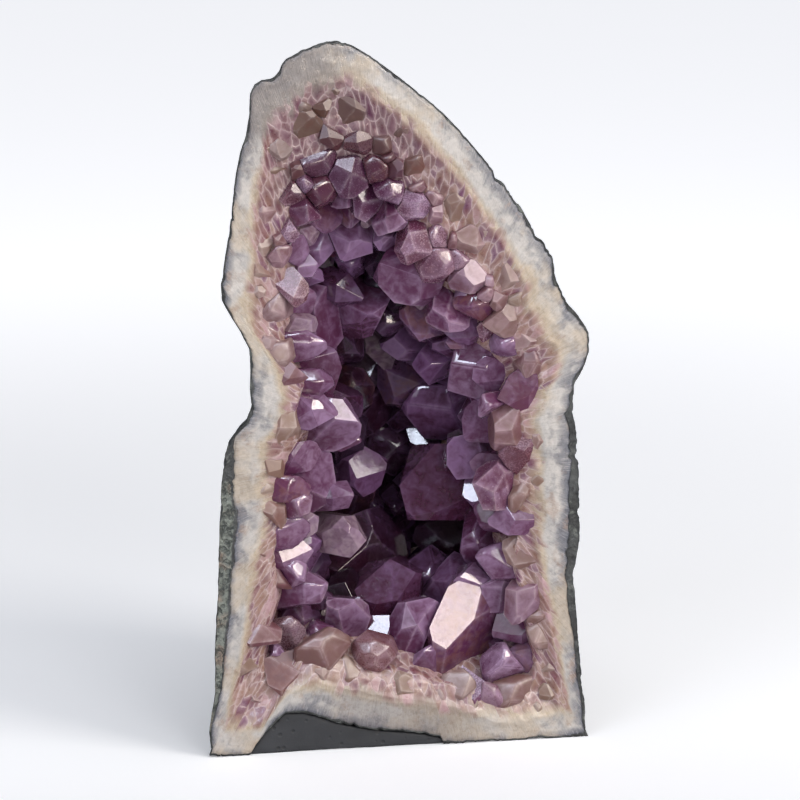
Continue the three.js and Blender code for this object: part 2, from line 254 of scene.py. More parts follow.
class Stone:
    """The radii of every layer on the face and behind it, along one set of bearings."""

    def __init__(self, settings, count=760):
        body, band, bed = tree_of(RIND, BAND), tree_of(BAND), tree_of(BED)
        self.trees = {"body": body, "band": band, "bed": bed}
        self.count = count
        self.bearings, self.along = even_bearings(body, count)
        total = self.along[-1]
        y = FACE + 0.25 * MM
        outline, rind_in, band_in, bed_in = (np.zeros(count) for _ in range(4))
        for i, bearing in enumerate(self.bearings):
            outline[i] = self.body_radius(bearing, y)
            rind_in[i] = radius_outside(band, bearing, y)
            band_in[i] = radius_outside(bed, bearing, y)
            bed_in[i] = radius_inside(bed, bearing, y)
        bed_in = smooth(shrunk(bed_in, 9), 9)
        waver, chip = settings.waver, settings.chip
        for i in range(count):
            along = self.along[i]
            nick = max(0.0, ripple(along, total, [(9, 1.0), (4, 0.8), (2, 0.4)], 40) - 0.1)
            crumbs = abs(ripple(along, total, [(2.6, 0.4 * chip), (1.1, 0.2 * chip)], 3))
            outline[i] -= chip * nick + crumbs
            thick = max(outline[i] - rind_in[i], 0)
            wide = max(0.0, ripple(along, total, [(17, 1.0), (5, 0.7), (2, 0.4)], 70) - 0.12)
            line = 0.5 * MM + 2.6 * MM * wide
            rock = thick + ripple(
                along, total, [(14, waver), (4, 0.7 * waver), (1.6, 0.4 * waver)], 70)
            skin = skin_share(self.bearings[i])
            side = ripple(along, total, [(11, 0.9 * MM), (3, 0.5 * MM)], 30)
            rock = max(rock, SKIN_STRIP * skin + side)
            keep = max(rock_share(self.bearings[i]), skin)
            rind_in[i] = outline[i] - (line * (1 - keep) + rock * keep)
            band_in[i] += ripple(
                along, total, [(18, 1.3 * waver), (6, 0.8 * waver), (2.4, 0.5 * waver)], 110)
        self.outline = outline
        self.rind_in = np.minimum(rind_in, outline - 0.4 * MM)
        self.band_in = np.minimum(band_in, self.rind_in - 3 * MM)
        self.bed_in = np.minimum(bed_in, self.band_in - 3 * MM)

    def body_radius(self, bearing, y):
        """The outside of the whole stone, which is sawn flat at the floor."""
        centre = centre_at(y)
        radius = radius_outside(self.trees["body"], bearing, y)
        low = centre.z + radius * math.sin(bearing)
        if math.sin(bearing) < -0.2 and low < 3 * MM:
            radius = max(radius, centre.z / -math.sin(bearing))
        return radius

    def outside(self, layer, y):
        """The radii of a layer's outside at a depth."""
        return np.array([radius_outside(self.trees[layer], b, y) for b in self.bearings])

    def inside(self, layer, y):
        """The radii of a layer's hollow at a depth, or the least of them where it has closed."""
        radii = np.array([radius_inside(self.trees[layer], b, y) for b in self.bearings])
        return np.where(radii > 0, radii, radii[radii > 0].min() if (radii > 0).any() else 0)

    def points(self, radii, y):
        """A ring of points at a depth. y may be one depth or one for each bearing."""
        depths = np.broadcast_to(y, self.count)
        return [centre_at(d) + direction(b) * r for b, r, d in zip(self.bearings, radii, depths)]


def shrunk(values, reach):
    """Each value replaced by the least of its neighbours' round the ring."""
    return np.min([np.roll(values, k) for k in range(-reach, reach + 1)], axis=0)


def smooth(values, reach):
    """Each value replaced by the mean of its neighbours' round the ring."""
    return np.mean([np.roll(values, k) for k in range(-reach, reach + 1)], axis=0)


def behind_face(*millimetres):
    """Depths given in millimetres behind the face, as places along Y."""
    return [FACE + depth * MM for depth in millimetres]


def depths_to_back(count):
    """Depths from the face to the stone's back, closer together towards the back."""
    return [FACE + DEPTH * math.sin(math.pi / 2 * k / count) ** 1.1 for k in range(1, count)]


# ---- Meshes ----


def ring_mesh(name, rings, along, **values):
    """A closed cup from rings of points, closed by a point at either end. Each of the values is an
    attribute with a row for each ring, and along has one for each column and one for the seam."""
    count = len(rings[0])
    corners = [p for ring in rings for p in ring]
    first = sum(rings[0], Vector()) / count
    last = sum(rings[-1], Vector()) / count
    corners += [first, last]
    faces, columns = [], []
    for k in range(len(rings) - 1):
        for i in range(count):
            j = (i + 1) % count
            faces.append((k * count + i, k * count + j, (k + 1) * count + j, (k + 1) * count + i))
            columns.append((i, i + 1, i + 1, i))
    end = (len(rings) - 1) * count
    for i in range(count):
        j = (i + 1) % count
        faces.append((len(corners) - 2, j, i))
        columns.append((i, i + 1, i))
        faces.append((len(corners) - 1, end + i, end + j))
        columns.append((i, i, i + 1))
    mesh = bpy.data.meshes.new(name)
    mesh.from_pydata(corners, [], faces)
    for key, rows in values.items():
        flat = [value for row in rows for value in row] + [rows[0][0], rows[-1][0]]
        mesh.attributes.new(key, "FLOAT", "POINT").data.foreach_set("value", flat)
    flat = [along[c] for corner in columns for c in corner]
    mesh.attributes.new("along", "FLOAT", "CORNER").data.foreach_set("value", flat)
    outward(mesh)
    mesh.shade_smooth()
    return add_object(name, mesh)


def outward(mesh):
    """Turns every face of a closed mesh to look out."""
    work = bmesh.new()
    work.from_mesh(mesh)
    bmesh.ops.recalc_face_normals(work, faces=work.faces)
    if work.calc_volume(signed=True) < 0:
        bmesh.ops.reverse_faces(work, faces=work.faces)
    work.to_mesh(mesh)
    work.free()


def add_object(name, data):
    piece = bpy.data.objects.new(name, data)
    bpy.context.scene.collection.objects.link(piece)
    return piece


def finish_piece(piece, material, slot, *replaced):
    """Gives a piece its material and its body, and hides the nodes that it stands for. Its slot is
    not used.
    """
    piece.data.materials.clear()
    piece.data.materials.append(material)
    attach(piece, BODY)
    if replaced:
        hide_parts(*replaced)


# ---- Shader nodes ----


def give(socket, value):
    """Links an input to a value that changes over the surface, or sets it to a plain one."""
    if isinstance(value, Field):
        socket.id_data.links.new(value.socket, socket)
    else:
        socket.default_value = value


def add_node(tree, kind, inputs=None, **settings):
    """A node with its settings and its inputs."""
    made = tree.nodes.new(kind)
    for key, value in settings.items():
        setattr(made, key, value)
    for key, value in (inputs or {}).items():
        give(made.inputs[key], value)
    return made


class Field:
    """A value, colour or vector that changes over the surface. Its sums and products are nodes."""

    def __init__(self, socket):
        self.socket, self.tree = socket, socket.id_data

    def node(self, kind, inputs, output=0, **settings):
        """A node in the same tree, as the field that one of its outputs holds."""
        return Field(add_node(self.tree, kind, inputs, **settings).outputs[output])

    def join(self, operation, other):
        return self.node("ShaderNodeMath", {0: self, 1: other}, operation=operation)

    def __add__(self, other):
        return self.join("ADD", other)

    def __sub__(self, other):
        return self.join("SUBTRACT", other)

    def __mul__(self, other):
        return self.join("MULTIPLY", other)

    def __truediv__(self, other):
        return self.join("DIVIDE", other)

    def __pow__(self, other):
        return self.join("POWER", other)

    def ease(self, low, high, out_low=0.0, out_high=1.0):
        """The value taken smoothly from one range to another, and held at its ends."""
        return self.node(
            "ShaderNodeMapRange", {0: self, 1: low, 2: high, 3: out_low, 4: out_high},
            interpolation_type="SMOOTHSTEP")

    def noise(self, scale, detail=4.0, roughness=0.55, distortion=0.0, output="Fac"):
        return self.node("ShaderNodeTexNoise", {
            "Vector": self, "Scale": scale, "Detail": detail, "Roughness": roughness,
            "Distortion": distortion}, output)

    def cells(self, scale, output="Distance", **settings):
        return self.node(
            "ShaderNodeTexVoronoi", {"Vector": self, "Scale": scale}, output, **settings)

    def parts(self):
        """The three numbers of a vector."""
        made = add_node(self.tree, "ShaderNodeSeparateXYZ", {0: self})
        return [Field(socket) for socket in made.outputs]

    def ramp(self, *stops):
        """The colour that the value picks from a row of (position, colour)."""
        made = add_node(self.tree, "ShaderNodeValToRGB", {"Fac": self})
        elements = made.color_ramp.elements
        while len(elements) < len(stops):
            elements.new(0.5)
        for element, (position, color) in zip(elements, stops):
            element.position, element.color = position, opaque(color)
        return Field(made.outputs["Color"])


def opaque(color):
    return color if isinstance(color, Field) else (*color, 1.0)


def blended(share, first, second, kind="MIX"):
    """The first colour where share is 0 and the second where it is 1."""
    field = next(value for value in (share, first, second) if isinstance(value, Field))
    return field.node(
        "ShaderNodeMix", {0: share, 6: opaque(first), 7: opaque(second)}, 2,
        data_type="RGBA", blend_type=kind, clamp_factor=True)


def shaded(color, shade):
    """A colour darkened by a number that changes over the surface."""
    grey = shade.node("ShaderNodeCombineColor", {0: shade, 1: shade, 2: shade})
    return blended(1.0, color, grey, "MULTIPLY")


def vector_of(x, y, z=0.0):
    return x.node("ShaderNodeCombineXYZ", {0: x, 1: y, 2: z})


def attribute(tree, name, output="Fac"):
    return Field(add_node(tree, "ShaderNodeAttribute", attribute_name=name).outputs[output])


def new_group(name, inputs, outputs):
    """An empty shader node group with its sockets: kinds, names and the inputs' defaults."""
    tree = bpy.data.node_groups.new(name, "ShaderNodeTree")
    for kind, label, *default in inputs:
        socket = tree.interface.new_socket(label, in_out="INPUT", socket_type=kind)
        if default:
            socket.default_value = default[0]
    for kind, label in outputs:
        tree.interface.new_socket(label, in_out="OUTPUT", socket_type=kind)
    given = {s.name: Field(s) for s in tree.nodes.new("NodeGroupInput").outputs if s.name}
    return tree, given, tree.nodes.new("NodeGroupOutput").inputs


def place_group(group, inputs):
    """A group's outputs as fields, with the group placed in the tree of the fields it is given."""
    made = add_node(inputs["Vector"].tree, "ShaderNodeGroup", node_tree=group)
    for key, value in inputs.items():
        give(made.inputs[key], value)
    return [Field(socket) for socket in made.outputs]


FLOAT, COLOR, VECTOR = "NodeSocketFloat", "NodeSocketColor", "NodeSocketVector"

# Where the stone is darker: the crown's crystals, and the smoky parts of the band.
CROWN = (-22 * MM, FACE, 256 * MM)
SMOKY = (((-52 * MM, FACE, 282 * MM), 44 * MM, 0.85), ((4 * MM, FACE, 14 * MM), 52 * MM, 0.5))


def specks_group():
    """Small dark or bright specks: a mask of spots of one size, thinned out by broad noise."""
    if "Specks" in bpy.data.node_groups:
        return bpy.data.node_groups["Specks"]
    tree, given, out = new_group(
        "Specks", [(VECTOR, "Vector"), (FLOAT, "Scale", 300.0), (FLOAT, "Amount", 0.5)],
        [(FLOAT, "Mask")])
    vector, scale = given["Vector"], given["Scale"]
    spot = vector.noise(scale * 0.3, 3.0) * given["Amount"] - vector.cells(scale)
    give(out["Mask"], spot.ease(-0.08, 0.08))
    return tree


def specks(vector, scale, amount):
    return place_group(specks_group(), {"Vector": vector, "Scale": scale, "Amount": amount})[0]


def patch_group():
    """A soft patch round a place: 1 at its centre, 0 past its ragged edge."""
    if "Patch" in bpy.data.node_groups:
        return bpy.data.node_groups["Patch"]
    tree, given, out = new_group(
        "Patch", [(VECTOR, "Vector"), (VECTOR, "Centre"), (FLOAT, "Reach", 0.03)],
        [(FLOAT, "Mask")])
    vector = given["Vector"]
    apart = vector.node(
        "ShaderNodeVectorMath", {0: vector, 1: given["Centre"]}, "Value", operation="DISTANCE")
    share = apart / given["Reach"] + (vector.noise(90.0) * 0.9 - 0.45)
    give(out["Mask"], share.ease(0.35, 1.0, 1.0, 0.0))
    return tree


def patch(vector, centre, reach):
    return place_group(patch_group(), {"Vector": vector, "Centre": centre, "Reach": reach})[0]


def layers_group(settings):
    """The pale stone from the rind inwards: blue-grey, white and cream chalcedony, crossed by fine
    fibres that run in from the rind, then a tan stain that fades into the quartz."""
    tree, given, out = new_group(
        "Pale Layers", [(VECTOR, "Vector"), (FLOAT, "Across", 0.0), (FLOAT, "Along", 0.0)],
        [(COLOR, "Color"), (FLOAT, "Height")])
    vector = given["Vector"]
    mm_in, mm_on = given["Across"] * (1 / MM), given["Along"] * (1 / MM)
    broad = vector.noise(42.0, 4.0, 0.6)
    fine = vector.noise(620.0, 5.0, 0.65)
    fibre = vector_of(mm_on * 1.5, mm_in * 0.16, broad * 3.0).noise(1.0, 4.0, 0.62, 0.6)
    color = (mm_in + (broad * 12.0 - 6.0)).ease(-1.0, 20.0).ramp(
        (0.0, settings.blue), (0.16, settings.milk), (0.5, settings.milk), (0.72, settings.cream),
        (1.0, settings.tan))
    blue = vector.noise(95.0, 5.0, 0.6, 0.4).ease(0.46, 0.64) * mm_in.ease(15.0, 4.0)
    stain = vector.noise(130.0, 5.0, 0.65)
    for share, laid in (
            (blue * 0.8, settings.blue), (broad.ease(0.48, 0.64) * 0.7, settings.cream),
            (stain.ease(0.54, 0.72) * 0.6, settings.tan),
            (fibre.ease(0.5, 0.72) * 0.5, settings.milk)):
        color = blended(share, color, laid)
    for centre, reach, strength in SMOKY:
        color = blended(patch(vector, centre, reach) * strength, color, settings.smoke)
    shade = fibre.ease(0.3, 0.5, 0.86, 1.0) * fine.ease(0.3, 0.6, 0.9, 1.04)
    give(out["Color"], shaded(color, shade))
    give(out["Height"], fine * 0.4 + fibre)
    return tree


def new_material(name):
    """A material, its node tree and the place on the piece as a field."""
    material = bpy.data.materials.new(name)
    material.use_nodes = True
    tree = material.node_tree
    return material, tree, Field(add_node(tree, "ShaderNodeTexCoord").outputs["Object"])


def coat(tree, values, height=None, distance=0.0, strength=1.0):
    """Gives the shader its inputs, and a relief from a height field."""
    if height:
        values["Normal"] = height.node(
            "ShaderNodeBump", {"Height": height, "Distance": distance, "Strength": strength})
    for key, value in values.items():
        give(tree.nodes["Principled BSDF"].inputs[key], value)


def rind_material(settings):
    """Dark weathered rock outside, and pale green-grey pitted rock where it is sawn."""
    material, tree, place = new_material("Basalt Rind")
    cut = attribute(tree, "cut")
    grain = place.noise(900.0, 6.0, 0.7)
    crust = place.noise(190.0, 6.0, 0.72, 0.5)
    skin = blended(place.noise(60.0, 5.0).ease(0.35, 0.65), settings.skin_dark, settings.skin)
    skin = blended(crust.ease(0.52, 0.68, 0.0, 0.55), skin, settings.sawn)
    skin = blended(crust.ease(0.44, 0.34, 0.0, 0.9), skin, settings.pit_dark)
    skin = blended(grain.ease(0.55, 0.75, 0.0, 0.4), skin, settings.sawn)
    spots = specks(place, 330.0, 0.72)
    large = place.noise(210.0, 5.0, 0.68, 0.8).ease(0.5, 0.6)
    sawn = blended(place.noise(130.0).ease(0.5, 0.72, 0.0, 0.7), settings.sawn, settings.tan)
    for share in (grain.ease(0.35, 0.65, 0.45, 0.0), spots * 0.5, large * 0.85):
        sawn = blended(share, sawn, settings.sawn_dark)
    relief = grain * 0.5 + crust * 1.6 - spots.join("MAXIMUM", large) * cut
    coat(tree, {
        "Base Color": blended(cut.ease(0.25, 0.75), skin, sawn),
        "Roughness": grain.ease(0.3, 0.7, 0.5, 0.8), "IOR": 1.5}, relief, 0.8 * MM)
    return material


def pale_stone(settings, crystals):
    """Chalcedony and massive quartz: pale layers from the rind in, then cloudy mauve cells with
    pale lines between them, long and narrow at first and rounder further in."""
    material, tree, place = new_material("Chalcedony and Quartz")
    across, along = attribute(tree, "across"), attribute(tree, "along")
    layers, height = place_group(
        layers_group(settings), {"Vector": place, "Across": across, "Along": along})
    mm_in, mm_on = across * (1 / MM), along * (1 / MM)
    bent = place.node("ShaderNodeVectorMath", {
        0: place.noise(150.0, roughness=0.5, output="Color"), 1: (0.8, 0.8, 0.8),
        2: vector_of(mm_on * 0.22, mm_in * 0.13)}, operation="MULTIPLY_ADD")
    border = bent.cells(1.0, feature="DISTANCE_TO_EDGE")
    own, late, _ = bent.cells(1.0, "Color").parts()
    broad = place.noise(70.0)
    inside = (own * 0.4 + broad).ease(0.35, 1.0).ramp(
        (0.0, crystals.rose), (0.4, crystals.root_dark), (0.8, crystals.iron),
        (1.0, crystals.violet))
    line = border.ease(0.0, 0.4, 0.35, 0.0) + border.ease(0.0, 0.09, 0.4, 0.0)
    line = line * broad.ease(0.3, 0.6, 0.5, 1.0)
    inside = blended(patch(place, CROWN, 50 * MM) * 0.75, inside, crystals.deep)
    inside = blended(line, inside, crystals.outline)
    start = broad * 14.0 + 5.0 + (late * 5.0 - 2.5)
    inward = (mm_in - start).ease(0.0, 6.5)
    coat(tree, {
        "Base Color": blended(inward, layers, inside),
        "Roughness": place.noise(500.0).ease(0.35, 0.65, 0.24, 0.46), "IOR": 1.54,
        "Subsurface Weight": 0.3, "Subsurface Scale": 2.0 * MM,
        "Subsurface Radius": (1.0, 0.85, 0.75)}, height * 0.6 - line * inward, 0.25 * MM, 0.8)
    return material


def pale_material(context):
    """The one material that the band and the bed share."""
    if "pale" not in _made:
        _made["pale"] = pale_stone(context.scene.geode_stone, context.scene.geode_crystals)
    return _made["pale"]


def foot_material(settings):
    """Smooth grey cement with pinholes."""
    material, tree, place = new_material("Cast Foot")
    grain = place.noise(1400.0, 5.0, 0.7)
    pin = specks(place, 240.0, 0.35)
    shade = place.noise(45.0).ease(0.3, 0.7, 0.85, 1.12) * grain.ease(0.3, 0.7, 0.86, 1.12)
    shade = shade * (pin * -0.35 + 1.0)
    coat(tree, {
        "Base Color": shaded(settings.cement, shade),
        "Roughness": grain.ease(0.3, 0.7, 0.6, 0.8), "IOR": 1.48},
        grain * 0.4 - pin, 0.25 * MM, 0.8)
    return material


def amethyst_material(colors):
    """Quartz that is milky and tan near the band and violet in the hollow. Every face mixes a dark
    inner colour with a pale outer one, and the pale one gathers along the edges. Deep in the hollow
    the colour is darkened as painted shade."""
    material, tree, place = new_material("Amethyst")
    up, deep, own = attribute(tree, "growth", "Vector").parts()
    edge, side, near = attribute(tree, "facet", "Vector").parts()
    apart = vector_of(own * 3.1, own, own * 1.7)
    inner = place.node("ShaderNodeVectorMath", {0: place, 1: apart}, operation="ADD")
    cloud = inner.noise(170.0, 4.0, 0.6, 0.5)
    wisp = inner.noise(250.0, 3.0, 0.5, 0.9)
    fine = inner.noise(1300.0, 4.0, 0.6)
    zone = deep + (cloud * 0.3 - 0.15) + (own * 0.2 - 0.1)
    dark = zone.ramp(
        (0.0, colors.root_dark), (0.25, colors.iron), (0.5, colors.violet), (1.0, colors.deep))
    pale = zone.ramp(
        (0.0, colors.root_pale), (0.25, colors.rose), (0.55, colors.lilac), (1.0, colors.mauve))
    dusk = patch(place, CROWN, 46 * MM)
    share = side * 0.34 + 0.02 + (wisp - 0.5) + (cloud * 1.2 - 0.58) - dusk * 0.6
    share = share + (own * 0.5 - 0.25) + (up * 0.6 - 0.28)
    share = share + edge ** 1.6 * 0.34 + near ** 2.0 * 0.05
    color = blended(share.ease(-0.2, 1.1), dark, pale)
    hue = (own * 17.3).join("FRACT", 0.0)
    rust = hue.ease(0.8, 0.9) * cloud.ease(0.4, 0.65, 0.0, 0.5)
    color = blended(rust, color, colors.rust)
    milky = hue.ease(0.07, 0.03) * wisp.ease(0.3, 0.7, 0.2, 0.6)
    color = blended(milky, color, colors.milky)
    frost = edge ** 7.0 * deep.ease(0.2, 1.0, 0.6, 0.25) * wisp.ease(0.42, 0.62, 0.05, 1.0)
    color = blended(frost, color, colors.outline)
    # Painted shade: the colour is darkened deep in the hollow, most of all in its shaded corners.
    # The dusk term also darkens it round the crown.
    painted_shade = deep.ease(0.8, DARKEST, 1.0, 0.16) * (dusk * -0.35 + 1.0)
    coat(tree, {
        "Base Color": shaded(color, painted_shade), "IOR": 1.544, "Transmission Weight": 0.3,
        "Roughness": fine.ease(0.35, 0.75, 0.05, 0.24) + deep.ease(0.2, 0.6, 0.3, 0.0)},
        fine * 0.2 + inner.noise(420.0, 3.0, 0.5), 0.12 * MM, 0.35)
    return material


# ---- Crystals ----

# A crystal's faces: its own, one at the sawn face, a worn edge, and one cut by a neighbour.
FACET, SAWN, WORN, SHARED = range(4)
WELD = 0.03 * MM
FORWARD = Vector((0, -1, 0))


class Solid:
    """A convex solid as a list of faces, each a ring of corners and a mark."""

    def __init__(self, low, high):
        x, y, z = zip(low, high)
        c = [Vector((x[i & 1], y[i >> 1 & 1], z[i >> 2 & 1])) for i in range(8)]
        rings = ((0, 2, 3, 1), (4, 5, 7, 6), (0, 1, 5, 4), (2, 6, 7, 3), (0, 4, 6, 2), (1, 3, 7, 5))
        self.faces = [([c[i] for i in ring], FACET) for ring in rings]

    def clip(self, point, normal, mark=FACET):
        """Takes away what lies past a plane and closes the cut."""
        limit = point.dot(normal)
        kept, rim = [], []
        for ring, old in self.faces:
            over = [corner.dot(normal) - limit for corner in ring]
            if max(over) <= 1e-9:
                kept.append((ring, old))
                continue
            left = []
            for i, corner in enumerate(ring):
                j = (i + 1) % len(ring)
                if over[i] <= 0:
                    left.append(corner)
                if (over[i] < 0) != (over[j] < 0) and over[i] != over[j]:
                    meet = corner.lerp(ring[j], over[i] / (over[i] - over[j]))
                    left.append(meet)
                    rim.append(meet)
            if len(left) > 2:
                kept.append((left, old))
        self.faces = kept
        if len(rim) > 2:
            middle = sum(rim, Vector()) / len(rim)
            side = normal.orthogonal().normalized()
            other = normal.cross(side)
            rim.sort(key=lambda p: math.atan2((p - middle).dot(other), (p - middle).dot(side)))
            self.faces.append((rim, mark))

    def welded(self):
        """Its corners, and its faces as numbers of corners, without slivers."""
        corners, faces = [], []
        for ring, mark in self.faces:
            numbers = []
            for corner in ring:
                for number, other in enumerate(corners):
                    if (corner - other).length_squared < WELD * WELD:
                        break
                else:
                    number = len(corners)
                    corners.append(corner)
                if number not in numbers:
                    numbers.append(number)
            if len(numbers) > 2:
                faces.append((numbers, mark))
        return corners, faces

    def wear(self, width, least=0.15):
        """Cuts a narrow strip off every edge that turns by more than the least angle."""
        corners, faces = self.welded()
        normals = [ring_normal([corners[i] for i in ring]) for ring, _ in faces]
        sides = {}
        for number, (ring, _) in enumerate(faces):
            for edge in edges_of(ring):
                sides.setdefault(edge, []).append(number)
        cuts = []
        for (a, b), pair in sides.items():
            if len(pair) != 2:
                continue
            turn = normals[pair[0]].angle(normals[pair[1]], 0)
            if turn < least:
                continue
            way = (normals[pair[0]] + normals[pair[1]]).normalized()
            depth = width * min(math.tan(turn / 2), 1.6) / 2
            cuts.append(((corners[a] + corners[b]) / 2 - way * depth, way))
        for point, way in cuts:
            self.clip(point, way, WORN)

    def size(self):
        corners = [corner for ring, _ in self.faces for corner in ring]
        middle = sum(corners, Vector()) / len(corners)
        total = 0.0
        for ring, _ in self.faces:
            for a, b in zip(ring[1:], ring[2:]):
                total += abs((ring[0] - middle).dot((a - middle).cross(b - middle))) / 6
        return total


def pairs_of(ring):
    """The neighbours in a closed ring."""
    return zip(ring, ring[1:] + ring[:1])


def edges_of(ring):
    """The edges of a ring of corners' numbers, the same from either side."""
    return [(min(a, b), max(a, b)) for a, b in pairs_of(ring)]


def ring_normal(ring, whole=False):
    """The normal of a flat ring of corners, or with its area as its length."""
    total = Vector()
    for a, b in pairs_of(ring):
        total += a.cross(b)
    return total / 2 if whole else total.normalized()


class Crystal:
    """Where a crystal stands: its root, its axis, its length, its width, how deep in the hollow it
    is, a number of its own, and how blunt its tip is."""

    def __init__(self, root, axis, length, radius, deep, own, slope=38.2):
        self.root, self.axis, self.length, self.radius = root, axis, length, radius
        self.deep, self.own, self.slope = deep, own, math.radians(slope)
        self.middle = root + axis * (0.6 * length)


def grown(crystal, rng):
    """A six-sided column of uneven width with six pyramid faces of uneven height."""
    wide = 1.7 * crystal.radius
    reach = crystal.length + wide
    far = Vector((reach, reach, reach))
    solid = Solid(crystal.root - far, crystal.root + far)
    axis = crystal.axis
    side = axis.orthogonal().normalized()
    side.rotate(Matrix.Rotation(rng.uniform(0, math.tau), 3, axis))
    other = axis.cross(side)
    solid.clip(crystal.root, -axis)
    top = crystal.root + axis * crystal.length
    aside = side * rng.uniform(-0.35, 0.35) + other * rng.uniform(-0.35, 0.35)
    tip = top + aside * crystal.radius
    for i in range(6):
        turn = math.tau * i / 6 + rng.uniform(-0.1, 0.1)
        way = side * math.cos(turn) + other * math.sin(turn)
        solid.clip(crystal.root + way * crystal.radius * rng.uniform(0.9, 1.3), way)
        slope = crystal.slope * rng.uniform(0.9, 1.2)
        lift = (0.0, 0.3)[i % 2] * rng.uniform(0.1, 1.2) * crystal.radius
        solid.clip(tip + axis * lift, way * math.cos(slope) + axis * math.sin(slope))
    return solid


def break_front(solid, rng):
    """Gives a crystal that reaches the sawn face a few low facets there, as if it had split. A
    large flat face that looks out of the hollow from further back is broken in the same way."""
    for ring, mark in list(solid.faces):
        normal = ring_normal(ring)
        area = ring_normal(ring, whole=True).length
        at_face = normal.y < -0.99 and ring[0].y < FACE + 2.5 * MM and area > (1.5 * MM) ** 2
        large = normal.y < -0.8 and area > (9 * MM) ** 2
        if mark == WORN or not (at_face or large):
            continue
        middle = sum(ring, Vector()) / len(ring)
        spread = math.sqrt(area)
        middle += Vector((rng.uniform(-0.2, 0.2), 0.04, rng.uniform(-0.2, 0.2))) * spread
        start = rng.uniform(0, math.tau)
        count = rng.choice((3, 3, 4, 5))
        for k in range(count):
            turn = start + math.tau * (k + rng.uniform(-0.25, 0.25)) / count
            tilt = math.radians(rng.uniform(13, 36))
            way = FORWARD * math.cos(tilt) + direction(turn) * math.sin(tilt)
            solid.clip(middle, way)


def blunt(crystal, solid, rng):
    """Takes a crystal's tip off with three to six faces that lie flatter than its own."""
    axis = crystal.axis
    side = axis.orthogonal().normalized()
    other = axis.cross(side)
    top = crystal.root + axis * (crystal.length - crystal.radius * rng.uniform(0.05, 0.22))
    top += (side * rng.uniform(-0.25, 0.25) + other * rng.uniform(-0.25, 0.25)) * crystal.radius
    start = rng.uniform(0, math.tau)
    count = rng.choice((3, 3, 4)) + (2 if crystal.radius > 8 * MM else 0)
    for k in range(count):
        turn = start + math.tau * (k + rng.uniform(-0.2, 0.2)) / count
        tilt = math.radians(rng.uniform(22, 40))
        out = side * math.cos(turn) + other * math.sin(turn)
        way = axis * math.cos(tilt) + out * math.sin(tilt)
        solid.clip(top, way)


class FacetMesh:
    """Gathers crystals into one mesh. growth holds, for every corner, how far up the crystal it is,
    how deep in the hollow and the crystal's own number. facet holds how near it is to the crystal's
    outline, the face's own number, and how near it is to any edge."""

    def __init__(self):
        self.corners, self.faces, self.growth, self.facet, self.soft = [], [], [], [], []

    def add(self, crystal, solid, rng, soft):
        corners, faces = solid.welded()
        outline = self.outline_of(faces)
        base = len(self.corners)
        self.corners += corners
        for corner in corners:
            self.growth.append(self.growth_at(crystal, corner))
        for ring, mark in faces:
            own = rng.random()
            numbers = [base + i for i in ring]
            points = [corners[i] for i in ring]
            rim = [float(edge in outline) for edge in edges_of(ring)]
            middle = sum(points, Vector()) / len(points)
            inner = min((a + b - 2 * middle).length / 2 for a, b in pairs_of(points))
            before = len(self.faces)
            if mark == WORN or inner < 0.35 * MM:
                self.faces.append(numbers)
                self.facet += [(0.6 * max(rim), own, 1)] * len(ring)
            else:
                share = min(0.6, 1.6 * MM / inner)
                first = len(self.corners)
                for point in points:
                    moved = point.lerp(middle, share)
                    self.corners.append(moved)
                    self.growth.append(self.growth_at(crystal, moved))
                for i in range(len(ring)):
                    j = (i + 1) % len(ring)
                    self.faces.append([numbers[i], numbers[j], first + j, first + i])
                    self.facet += [(rim[i], own, 1), (rim[i], own, 1), (0, own, 0), (0, own, 0)]
                self.faces.append(list(range(first, first + len(ring))))
                self.facet += [(0, own, 0)] * len(ring)
            self.soft += [soft] * (len(self.faces) - before)

    @staticmethod
    def outline_of(faces):
        """The edges where a crystal's own faces meet the planes that its neighbours cut it with."""
        touched = set()
        for ring, mark in faces:
            if mark == SHARED:
                touched |= set(edges_of(ring))
        for ring, mark in faces:
            edges = set(edges_of(ring))
            if mark == WORN and edges & touched:
                touched |= edges
        return touched

    @staticmethod
    def growth_at(crystal, corner):
        up = (corner - crystal.root).dot(crystal.axis) / crystal.length
        return (held(up), crystal.deep, crystal.own)

    def piece(self, name):
        mesh = bpy.data.meshes.new(name)
        mesh.from_pydata(self.corners, [], self.faces)
        flat = [value for corner in self.growth for value in corner]
        mesh.attributes.new("growth", "FLOAT_VECTOR", "POINT").data.foreach_set("vector", flat)
        flat = [value for corner in self.facet for value in corner]
        mesh.attributes.new("facet", "FLOAT_VECTOR", "CORNER").data.foreach_set("vector", flat)
        mesh.polygons.foreach_set("use_smooth", self.soft)
        return add_object(name, mesh)


DARKEST = 1.5  # the depth value where hardly any light comes

# Shaded corners of the hollow, for painted shade: x, z, how far they reach, and how far behind the
# face they start.
SHADED_CAVES = (
    (-1 * MM, 195 * MM, 26 * MM, 20 * MM),
    (-16 * MM, 62 * MM, 24 * MM, 16 * MM),
    (-14 * MM, 118 * MM, 18 * MM, 24 * MM),
    (14 * MM, 66 * MM, 18 * MM, 30 * MM),
)


